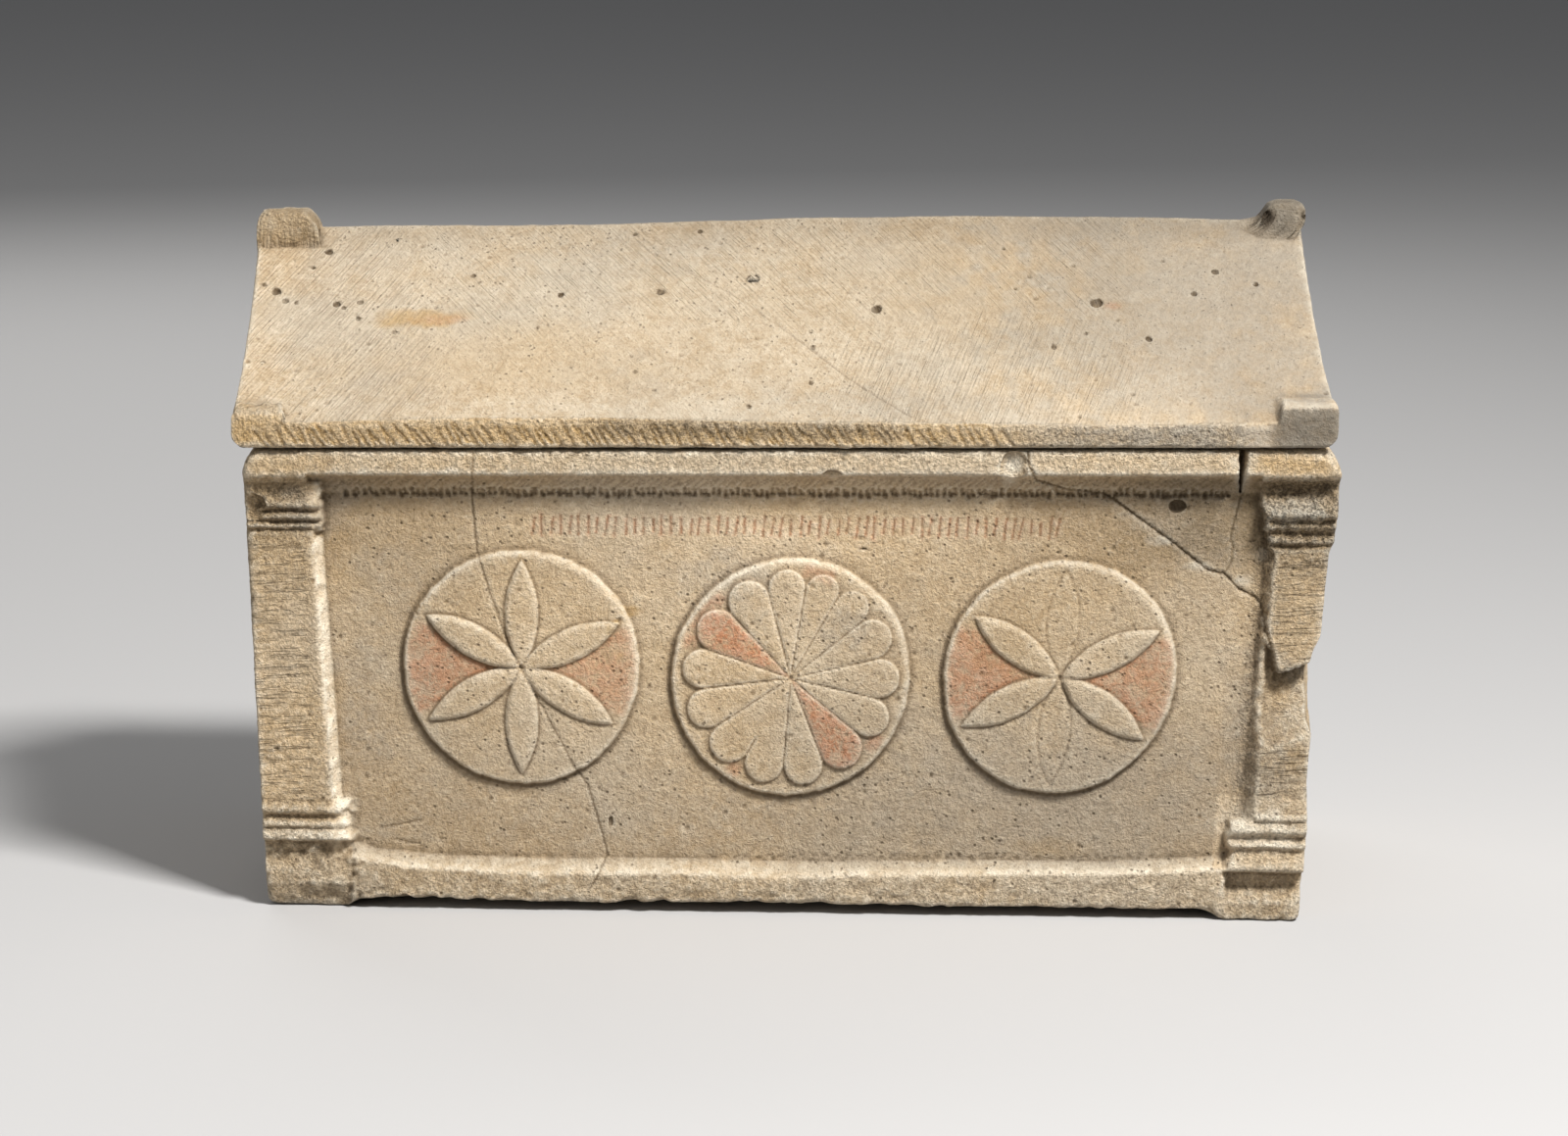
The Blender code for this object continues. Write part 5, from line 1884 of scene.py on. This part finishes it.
        # painted shade and light in the shade mask; pale stone together with painted highlight in the chalk
        # patches
        store(piece, {"shade": self._painted_shade(x, y, z, eave, knob) * shown, "petal_edge": bare,
                      "disc_edge": bare, "smooth": smooth, "ochre": np.maximum(ochre, 0.5 * knob * (x < 0)),
                      "grey": grey * shown, "grit": grit, **rasp,
                      "paint": patches(x, y, self.rust_patches) * roof, "pit": self._pit_share(points) * roof,
                      "crack": crack * roof, "chalk_and_highlight": patches(x, y, self.pale_and_highlight_patches) * roof,
                      **relief_masks(piece)})

    def _eave_share(self, x: Array, y: Array, z: Array) -> Array:
        """1 on the eave's upright face, 0 elsewhere; the face is higher under the corner knobs.

        Args:
            x, y, z: the points.

        Returns:
            The share.
        """
        rim = self._roof(x, np.full_like(x, -self.half_depth)) - 0.5 * MM
        lip = np.where(np.abs(x - 0.2810) < 17.5 * MM, 0.2868, np.where(x < -0.2780, 0.2843, rim))
        return (y < -self.half_depth + 6 * MM) * fade(lip, lip + 1.6 * MM, z)

    def _pit_share(self, points: Array) -> Array:
        """How far each point lies in one of the pits, which are dark.

        Args:
            points: the points.

        Returns:
            The share.
        """
        x, y, _ = points.T
        pit = np.zeros_like(x)
        ragged = 0.3 * noise(x, y, 1.8 * MM, 45)
        for scoop in self.knob_pits:
            offset = (points - np.array(scoop.centre)) / np.array(scoop.radii)
            pit = np.maximum(pit, 0.8 * fade(0.8, 1.25, np.linalg.norm(offset, axis=1)))
        for px, py, size in self.pits:
            away = np.hypot(x - px, (y - py) * 1.1) / (size * MM)
            pit = np.maximum(pit, fade(0.65, 0.95, away + ragged))
        return pit

    def _painted_shade(self, x: Array, y: Array, z: Array, eave: Array, knob: Array) -> Array:
        """Painted shade: how much darker the stone is painted towards the right, along the ridge, on the
        knobs and on parts of the eave; painted light on the roof's left end, its lower right part and the
        right eave knob's top.

        Args:
            x, y, z: the points.
            eave: the eave's share.
            knob: the knobs' share.

        Returns:
            The share of brightness painted away; below 0 the stone is painted lighter.
        """
        # painted shade over the roof, heavier towards the right and along the ridge, lighter at the left end
        shade = np.interp(x, (-0.26, 0.0, 0.20), (0.24, 0.34, 0.42)) * (1.0 - eave)
        shade = shade + 0.12 * ease(-0.032, -0.005, y) - 0.08 * fade(-0.29, -0.27, x)
        # painted light on the roof's lower right part
        pale = ease(0.06, 0.14, x) * fade(0.20, 0.25, x) * ease(0.085, 0.120, -y)
        shade = shade - 0.12 * pale * (1.0 - eave)
        # painted shade on the ridge knobs, painted light on the right eave knob's top, then painted shade on
        # the eave's right part
        crest = np.interp(x, (0.0, 0.2), (0.10, 0.17)) * (y > -0.05) - 0.15 * (y < -0.05) * (x > 0.0)
        shade = np.maximum(shade + crest * knob, 0.20 * eave * ease(0.08, 0.17, x))
        # painted shade on the middle of the eave's face
        shaded_middle = ease(-0.13, -0.09, x) * fade(0.03, 0.09, x) * ease(0.2690, 0.2750, z)
        shade = np.maximum(shade, 0.34 * eave * shaded_middle)
        # painted shade on the front of the right eave knob
        return np.maximum(shade, 0.63 * eave * ease(*self.right_knob, x))

    def _roof(self, x: Array, y: Array) -> Array:
        """The height of the roof, its knobs left out.

        Args:
            x, y: the points in plan.

        Returns:
            The heights.
        """
        share = (x - self.left) / (self.right - self.left)
        shares, eaves, ridges = zip(*self.stations)
        eave = self.eave_top + np.interp(share, shares, eaves)
        ridge = self.ridge + np.interp(share, shares, ridges)
        across = unit((self.half_depth - np.abs(y)) / (self.half_depth - self.ridge_half))
        return eave + (ridge - eave) * across

    def _eave_knob(self, x: Array, y: Array, ends: Pair, rise: float, worn: float) -> Array:
        """The height of a low block on a corner of the eaves, its top running back into the roof.

        Args:
            x, y: the points in plan.
            ends: its outer and inner end.
            rise: its height over the eave.
            worn: how uneven it is.

        Returns:
            The heights, 0 where there is none.
        """
        outer, inner = ends
        uneven = worn * (noise(x, y, 5 * MM, 39) + 0.6 * noise(x, y, 2.2 * MM, 40))
        along = (x - outer) / (inner - outer) + 0.06 * uneven / MM
        back = self.half_depth - np.abs(y)
        edge = np.minimum(ease(-0.06, 0.12, along), fade(0.93, 1.0, along))
        front = np.sqrt(unit(back / (4.5 * MM)))
        height = self.eave_top + rise + 0.10 * back - 3 * MM * (1.0 - front) - 5 * MM * (1.0 - edge) + uneven
        return np.where((along > -0.08) & (along < 1.0) & (back < 24 * MM), height, 0.0)

    def _top(self, x: Array, y: Array) -> Array:
        """The height of the lid's top, knobs and tool marks included.

        Args:
            x, y: the points in plan.

        Returns:
            The heights.
        """
        height = self._roof(x, y)
        height = height + self._rasped(x, y) + 0.5 * MM * noise(x, y, 35 * MM, 33)
        for knob in (LEFT_RIDGE_KNOB.height(x, y), RIGHT_RIDGE_KNOB.height(x, y),
                     self._eave_knob(x, y, (self.left - 0.8 * MM, self.left + 30 * MM), 8.3 * MM, 0.9 * MM),
                     self._eave_knob(x, y, (self.right + 1.6 * MM, self.right - 32 * MM), 10.2 * MM,
                                     0.2 * MM)):
            height = np.maximum(height, knob)
        return height

    @staticmethod
    def _rasp_shares(x: Array, y: Array) -> tuple[Array, Array, Array]:
        """How much each of the rasp's three directions shows: high up, low on the right, at the left end.

        Args:
            x, y: the points in plan.

        Returns:
            The three shares.
        """
        stray = 0.5 * noise(x, y, 45 * MM, 34)
        end = fade(-0.24, -0.17, x + 0.06 * stray)
        high = ease(-0.100, -0.060, y + 0.04 * stray)
        fading = fade(0.16, 0.22, x)
        low = (1.0 - high) * ease(-0.03, 0.05, x + 0.05 * stray)
        return (high + 0.4 * (1.0 - high) * (x < 0.05)) * (1.0 - end) * fading, low * fading, end

    def _rasped(self, x: Array, y: Array) -> Array:
        """Shallow strokes of the rasp, which slants one way on the left and the other on the right.

        Args:
            x, y: the points in plan.

        Returns:
            Metres to raise each point.
        """
        total = np.zeros_like(x)
        bend = 4 * MM * noise(x, y, 30 * MM, 31)
        for degrees, share, seed in zip(RASP_DEGREES, self._rasp_shares(x, y), (32, 35, 36)):
            run = (math.cos(math.radians(degrees)), math.sin(math.radians(degrees)))
            across, along = run[1] * x - run[0] * y + bend, run[0] * x + run[1] * y
            lines = noise(across, along, (1.25 * MM, 16 * MM), seed)
            total += share * lines * (0.7 + 0.6 * noise(x, y, 20 * MM, seed + 10))
        return 0.25 * MM * total

    def _row(self, y: Array | float, share: Array, wall: float = 0.0) -> Array:
        """Points of the lid's plan, from left to right, inside a wall of some thickness.

        Args:
            y: where it lies, or one place for each point.
            share: how far along each point is.
            wall: the wall's thickness.

        Returns:
            The points.
        """
        left, right = self.left + wall, self.right - wall - (4 * MM if wall > 0 else 0.0)
        x = left + share * (right - left)
        return np.stack((x, np.broadcast_to(y, x.shape), np.zeros_like(x)), 1)

    def _ring(self, wall: float, squeeze: float = 1.0, cells: int | None = None) -> list[Array]:
        """The four sides of a ring in plan: front, right, back and left.

        Args:
            wall: how far in from the outline.
            squeeze: how far it is drawn out from the middle.
            cells: cells along the length.

        Returns:
            The points of the four sides.
        """
        cells = cells or self.cells
        half = self.half_depth - wall
        share = np.linspace(0.0, 1.0, cells + 1)
        rows_front = np.union1d(np.linspace(-half, 0.0, self.front_rows + 1), np.linspace(*self.knob_rows))
        rows_back = np.linspace(0.0, half, self.back_rows + 1)[1:]
        side = np.concatenate((rows_front, rows_back))
        right = self._row(side, np.ones_like(side), wall)
        left = self._row(side[::-1], np.zeros_like(side), wall)
        ring = [self._row(-half, share, wall), right, self._row(half, share[::-1], wall), left]
        middle = np.array([(self.left + self.right) / 2, 0.0, 0.0])
        return [middle + (row - middle) * (squeeze, squeeze, 1.0) for row in ring]

    def _ceiling(self, row: Array) -> Array:
        """The height of the hollow's ceiling over each point of a row.

        Args:
            row: the points.

        Returns:
            The heights.
        """
        slope = (self.ridge - self.eave_top) / (self.half_depth - self.ridge_half)
        spring = self.eave_top + slope * self.wall - self.thickness
        crown = self.ridge - self.thickness - 4 * MM
        return np.interp(np.abs(row[:, 1]), (12 * MM, self.half_depth - self.wall), (crown, spring))

    def _skin(self) -> tuple[Array, Array]:
        """The lid's closed skin in the square layout.

        Returns:
            The points and the triangles.
        """
        rings = []
        for squeeze in (0.0, 0.3, 0.6, 0.85, 1.0):
            rows = self._ring(self.wall, squeeze, self.hollow_cells)
            rings.append([at_height(row, self._ceiling(row)) for row in rows])
        for wall in (self.wall, self.wall * 0.4):
            rings.append([at_height(row, self.seat) for row in self._ring(wall, 1.0, self.hollow_cells)])
        outline = self._ring(0.0)
        tops = [self._top(row[:, 0], row[:, 1]) for row in outline]
        for level in np.linspace(0.0, 1.0, self.eave_rows + 1):
            rings.append([at_height(row, self.seat + (top - self.seat) * level)
                          for row, top in zip(outline, tops)])
        skin = Skin()
        skin.rings(rings)
        front, right, back, left = rings[-1]
        share = np.linspace(0.0, 1.0, self.cells + 1)
        rows = [front]
        for y in right[1:-1, 1]:
            row = self._row(y, share)
            rows.append(at_height(row, self._top(row[:, 0], row[:, 1])))
        rows.append(back[::-1])
        skin.sheet(rows)
        points, triangles = skin.weld()
        return self._wear(points), triangles

    def _wear(self, points: Array) -> Array:
        """Let the gables fall inwards, nibble the eave's edges and round the bottom edge.

        Args:
            points: the fresh lid.

        Returns:
            The worn lid.
        """
        x, y, z = points.T.copy()
        share = (x - self.left) / (self.right - self.left)
        up = unit((z - self.eave_top) / (self.ridge - self.eave_top))
        ups, lefts, rights = zip(*self.gable_fall)
        roof = z < self._roof(x, y) + 1.5 * MM
        x = x + roof * ((1.0 - share) * np.interp(up, ups, lefts) - share * np.interp(up, ups, rights))
        corner = unit(1.0 - (z - self.seat) / (9 * MM)) ** 2
        corner = corner * (6.5 + 1.5 * noise(x, y, 9 * MM, 44)) * MM
        near_end = ease(0.985, 1.0, np.abs(2.0 * share - 1.0))
        x = x - np.sign(share - 0.5) * corner * near_end
        outer = np.abs(y) > self.half_depth - 0.1 * MM
        low = fade(0.0, 1.0, (z - self.seat) / (2.8 * MM))
        top = self._top(x, y)
        high = ease(0.0, 1.0, (z - top + 2.2 * MM) / (2.2 * MM))
        nibble = 1.0 + 0.8 * noise(x, z, 9 * MM, 41) + 0.7 * noise(x, z, 3 * MM, 42)
        y = np.where(outer, y - np.sign(y) * (1.6 * MM * low + 0.8 * MM * high) * np.maximum(nibble, 0.0), y)
        seat = (z < self.seat + 6 * MM) & (np.abs(y) > self.half_depth - self.wall + MM)
        lip = ease(self.half_depth - 11 * MM, self.half_depth, np.abs(y))
        lip = lip * (1.0 - (z - self.seat) / (6 * MM))
        z = np.where(seat, z + (1.3 + 0.4 * noise(x, y, 12 * MM, 43)) * MM * lip, z)
        return np.stack((x, y, z), 1)


# ---- finishes


class StoneGraph(Graph):
    """A shader tree with a stone's grain, coarse to fine, and the nodes that its finish repeats."""

    def __init__(self, tree: bpy.types.NodeTree) -> None:
        """Make the grain and read the masks that several steps of the finish share.

        Args:
            tree: the material's tree.
        """
        super().__init__(tree)
        self.place = self.node("ShaderNodeTexCoord", {}, {}, "Object")
        self.cloud, self.mottle = self.noise(11.0, 5.0), self.noise(85.0, 4.0)
        self.speck, self.grain = self.noise(210.0, 5.0), self.noise(640.0, 4.0)
        self.sand = self.noise(620.0, 2.0)
        self.broken = self.ease(self.mottle * 0.5 + self.speck * 0.5, 0.36, 0.60)
        self.grit, self.smooth, self.crisp = self.mask("grit"), self.mask("smooth"), self.mask("petal_share")
        self.petal, self.disc = self.mask("petal_edge"), self.mask("disc_edge")
        self.rough = 1.0 - self.smooth * 0.85
        self.pores = self.holes(420.0, 0.22) * self.ease(self.speck, 0.50, 0.60)
        self.wells = self.holes(230.0, 0.27) * self.ease(self.mottle * 0.6 + self.cloud * 0.4, 0.46, 0.57)
        strokes = self.streaks((0.0, SHAFT_TILT, 0.0), (0.024, 0.05, 0.0021))
        self.tooled = (self.ease(strokes, 0.36, 0.50) - 0.7) * self.mask("shaft")

    def noise(self, scale: float, detail: float) -> Socket:
        """Noise with features of 1/scale metres."""
        return self.node("ShaderNodeTexNoise", {}, {"Vector": self.place, "Scale": scale, "Detail": detail,
                                                    "Roughness": 0.68})

    def holes(self, scale: float, size: float) -> Socket:
        """Small round holes, one in each cell of 1/scale metres.

        Args:
            scale: cells to the metre.
            size: the holes' size, as a share of a cell.

        Returns:
            1 in a hole, 0 outside.
        """
        hole = self.node("ShaderNodeTexVoronoi", {"feature": "F1"},
                         {"Vector": self.place, "Scale": scale}, "Distance")
        return 1.0 - self.ease(hole, 0.06, size)

    def line(self, distance: Socket, middle: float, half: float) -> Socket:
        """A line along a carved edge, from the distance to that edge in millimetres."""
        away = (distance - middle).math("ABSOLUTE")
        return 1.0 - self.ease(away, half * 0.3, half)

    def streaks(self, turn: Triple, size: Triple) -> Socket:
        """Noise drawn out into strokes, with its features' size along each turned axis.

        Args:
            turn: the turn about each axis.
            size: the features' size along it.

        Returns:
            The strokes.
        """
        turned = self.node("ShaderNodeMapping", {"vector_type": "TEXTURE"},
                           {"Vector": self.place, "Rotation": turn, "Scale": size})
        return self.node("ShaderNodeTexNoise", {},
                         {"Vector": turned, "Scale": 1.0, "Detail": 3.0, "Roughness": 0.6})

    def mask(self, name: str) -> Socket:
        """A mask stored on the mesh."""
        return self.node("ShaderNodeAttribute", {"attribute_name": name}, {}, "Fac")

    def mix(self, factor: Socket, first: Socket | Triple, second: Socket | Triple) -> Socket:
        """One colour laid over another."""
        a, b = ((*shade, 1.0) if isinstance(shade, tuple) else shade for shade in (first, second))
        return self.node("ShaderNodeMix", {"data_type": "RGBA"}, {0: factor, 6: a, 7: b}, 2)

    def larger(self, first: Socket, second: Socket) -> Socket:
        """The larger of two values."""
        return self.node("ShaderNodeMath", {"operation": "MAXIMUM"}, {0: first, 1: second})


@dataclass(frozen=True)
class Limestone:
    """Soft, granular limestone with ochre and grey stains, traces of red paint, and painted shade and
    highlight, in linear colours.
    """

    name: str
    pale: Triple = (0.72, 0.57, 0.39)
    deep: Triple = (0.50, 0.36, 0.21)
    cool: Triple = (0.57, 0.49, 0.38)
    ochre: Triple = (0.52, 0.33, 0.13)
    grey: Triple = (0.40, 0.345, 0.272)
    paint: Triple = (0.51, 0.18, 0.072)
    # dark colour for dirt, cracks and pits, and for painted shadow along the discs' rims
    dark_tone: Triple = (0.11, 0.07, 0.035)
    # pale colour for chalky wear, and for painted highlight
    chalk_and_highlight: Triple = (0.84, 0.74, 0.58)

    def material(self) -> bpy.types.Material:
        """Build the finish.

        Returns:
            The material.
        """
        made = bpy.data.materials.new(self.name)
        made.use_nodes = True
        made.node_tree.nodes.clear()
        g = StoneGraph(made.node_tree)
        colour = self._outlined(g, self._wear_and_highlight(g, self._stained(g)))
        colour = g.vector("SCALE", colour, scale=self._brightness(g))
        bump = g.node("ShaderNodeBump", {}, {"Strength": 1.0, "Distance": 0.0025, "Height": self._relief(g)})
        shader = g.node("ShaderNodeBsdfPrincipled", {}, {"Base Color": colour, "Roughness": 0.95,
                                                         "Specular IOR Level": 0.2, "Normal": bump})
        output = made.node_tree.nodes.new("ShaderNodeOutputMaterial")
        made.node_tree.links.new(shader.link, output.inputs["Surface"])
        return made

    def _stained(self, g: StoneGraph) -> Socket:
        """The stone's own colours, then ochre, grey and the traces of paint.

        Args:
            g: the tree.

        Returns:
            The colour.
        """
        tone = g.ease(g.cloud * 0.30 + g.mottle * 0.22 + g.speck * 0.18 + g.grain * 0.30, 0.40, 0.60)
        colour = g.mix(tone, self.deep, self.pale)
        colour = g.mix(g.ease(g.noise(8.0, 4.0), 0.42, 0.66) * 0.6, colour, self.cool)
        colour = g.mix(g.mask("ochre") * (0.45 + g.broken * 0.55), colour, self.ochre)
        grey = g.mask("grey") * (0.25 + g.smooth * 0.35 + g.broken * (0.75 - g.smooth * 0.4))
        colour = g.mix(grey, colour, self.grey)
        flaked = g.ease(g.speck * 0.40 + g.grain * 0.30 + g.mottle * 0.30, 0.43, 0.55)
        return g.mix(g.mask("paint") * (0.24 + flaked * 0.68), colour, self.paint)

    def _wear_and_highlight(self, g: StoneGraph, colour: Socket) -> Socket:
        """Pale edges, partly worn and partly painted highlight; darker hollows and recesses; dark pores and
        wells.

        Args:
            g: the tree.
            colour: the colour so far.

        Returns:
            The colour.
        """
        # pale edges and chalk: partly wear, partly painted highlight
        rubbed_and_highlight = g.mask("edge") * 0.50 + g.mask("proud") * 0.30 + g.mask("chalk_and_highlight") * 0.70
        colour = g.mix((rubbed_and_highlight * (0.3 + g.broken * 0.7)).clamped(), colour, self.chalk_and_highlight)
        # darker in the hollows and recesses
        hollow_darkening = (g.mask("hollow") * 0.42 + g.mask("recess") * 0.26) * (1.0 - g.mask("chalk_and_highlight") * 0.85)
        colour = g.mix(hollow_darkening.clamped(), colour, self.dark_tone)
        colour = g.mix(g.pores * 0.75 * g.rough, colour, self.dark_tone)
        return g.mix(g.wells * 0.70 * g.rough, colour, self.dark_tone)

    def _outlined(self, g: StoneGraph, colour: Socket) -> Socket:
        """Pale lines along the petals' edges, partly worn arris and partly painted highlight, and dark lines
        just outside them; on the discs' rims, painted highlight towards the light and painted shadow on the
        far side; then the cracks and the pits.

        Args:
            g: the tree.
            colour: the colour so far.

        Returns:
            The colour.
        """
        # the discs' rims get painted highlight towards the light and painted shadow on the far side
        low = g.mask("disc_shadow_side")
        arris_and_highlight = g.larger(g.line(g.petal, 0.40, 0.75) * g.crisp * 0.36,
                         g.line(g.disc, 0.8, 1.3) * (0.60 - low * 0.35))
        colour = g.mix(arris_and_highlight * (0.2 + g.broken * 0.8), colour, self.chalk_and_highlight)
        seam_and_shadow = g.larger(g.line(g.petal, -0.75, 0.85) * g.crisp * 0.30,
                        g.line(g.disc, -1.5, 1.9) * (0.12 + low * 0.38))
        colour = g.mix(seam_and_shadow, colour, self.dark_tone)
        for name, strength in (("crack", 0.8), ("pit", 0.95)):
            colour = g.mix(g.mask(name) * strength, colour, self.dark_tone)
        return colour

    @staticmethod
    def _brightness(g: StoneGraph) -> Socket:
        """How bright the colour is: less where shade is painted, more where light is painted, uneven where
        the stone is coarse.
        """
        grains = (g.ease(g.sand, 0.36, 0.64) - 0.5) * (g.grit * 0.42 + 0.06 - g.smooth * 0.03)
        # the shade mask darkens the colour with painted shade, and lightens it where it is negative
        return 1.0 - g.mask("shade") + grains + g.tooled * 0.22

    @staticmethod
    def _relief(g: StoneGraph) -> Socket:
        """The height of the grain, the carved edges and the rasp's strokes.

        Args:
            g: the tree.

        Returns:
            The height for the bump.
        """
        height = (g.grain * 0.9 + g.speck * 1.2) * (0.62 + g.grit * 0.92 - g.smooth * 0.15) + g.sand * g.grit
        height = height - g.pores * 0.35 - g.wells * 0.5 * g.rough
        height = height + g.ease(g.petal, -1.0, 0.5) * g.crisp * 0.20 + g.ease(g.disc, -1.2, 1.3) * 0.34
        for name, degrees in zip(RASP_MASKS, RASP_DEGREES):
            strokes = g.streaks((0.0, 0.0, math.radians(degrees)), (0.028, 0.0013, 0.05)) - 0.5
            height = height + strokes * g.mask(name) * 0.8
        return height + g.tooled * 0.75


# ---- stage


@dataclass(frozen=True)
class Studio:
    """A plain pale floor, soft light from the upper right, and the camera."""

    floor_size: float = 60.0
    floor_colour: Triple = (0.42, 0.41, 0.40)
    distance: float = 2.6
    elevation: float = math.radians(10.5)
    roll: float = math.radians(0.76)
    aim_height: float = 0.1735
    aim_x: float = -0.0009
    lens: float = 103.0

    def build(self) -> None:
        """Set the stage."""
        self._floor()
        self._light("key", (1.35, -1.80, 2.85), (0.75, 0.75), 240.0)
        self._light("fill", (-1.6, -2.4, 1.3), (1.8, 1.4), 9.0)
        self._light("back", (-1.0, 2.6, 1.9), (2.4, 1.6), 34.0)
        self._camera()
        bpy.context.scene.view_settings.view_transform = "Standard"
        world = bpy.data.worlds.new("studio")
        bpy.context.scene.world = world
        world.use_nodes = True
        back = world.node_tree.nodes["Background"]
        back.inputs["Color"].default_value = (0.92, 0.95, 1.0, 1.0)
        back.inputs["Strength"].default_value = 0.16

    def _floor(self) -> None:
        """The pale floor."""
        half = self.floor_size / 2
        mesh = bpy.data.meshes.new("floor")
        corners = [(-half, -half, 0), (half, -half, 0), (half, half, 0), (-half, half, 0)]
        mesh.from_pydata(corners, [], [(0, 1, 2, 3)])
        floor = placed("floor", mesh)
        material = bpy.data.materials.new("floor")
        material.use_nodes = True
        shader = material.node_tree.nodes["Principled BSDF"]
        shader.inputs["Base Color"].default_value = (*self.floor_colour, 1.0)
        shader.inputs["Roughness"].default_value = 0.85
        mesh.materials.append(material)

    def _light(self, name: str, place: Triple, size: Pair, power: float) -> None:
        """A soft rectangular light that faces the object.

        Args:
            name: its name.
            place: where it hangs.
            size: its sides.
            power: in watts.
        """
        data = bpy.data.lights.new(name, "AREA")
        data.shape, data.size, data.size_y, data.energy = "RECTANGLE", size[0], size[1], power
        light = placed(name, data)
        light.location = place
        light.rotation_euler = (Vector((0.0, 0.0, 0.18)) - light.location).to_track_quat("-Z", "Y").to_euler()

    def _camera(self) -> None:
        """The camera, a little above the object's front."""
        data = bpy.data.cameras.new("camera")
        data.lens, data.sensor_width = self.lens, 36.0
        camera = placed("camera", data)
        middle = (CAD_BOX[0].x + CAD_BOX[1].x) / 2 + self.aim_x
        camera.location = (middle, -self.distance * math.cos(self.elevation),
                           self.aim_height + self.distance * math.sin(self.elevation))
        camera.rotation_euler = (math.pi / 2 - self.elevation, 0.0, 0.0)
        camera.rotation_euler.rotate_axis("Z", self.roll)
        bpy.context.scene.camera = camera


def dress(piece: Piece, node: str, finish: bpy.types.Material) -> None:
    """Give a piece its finish and let it stand for its CAD node.

    Args:
        piece: the finished piece.
        node: the CAD node it stands for.
        finish: the stone.
    """
    piece.data.materials.clear()
    piece.data.materials.append(finish)
    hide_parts(node)
    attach(piece, "root")


def main() -> None:
    """Build the two stone pieces and the stage."""
    logging.basicConfig(level=logging.INFO, format="%(message)s")
    stone = Limestone("limestone").material()
    cut = HandCut()
    for piece, node in ((Chest("chest_stone", cut, 190_000).build(), "chest"),
                        (Lid("lid_stone", cut, 190_000).build(), "lid")):
        dress(piece, node, stone)
        log.info("%s stands for %s", piece.name, node)
    Studio().build()


if __name__ == "__main__":
    main()
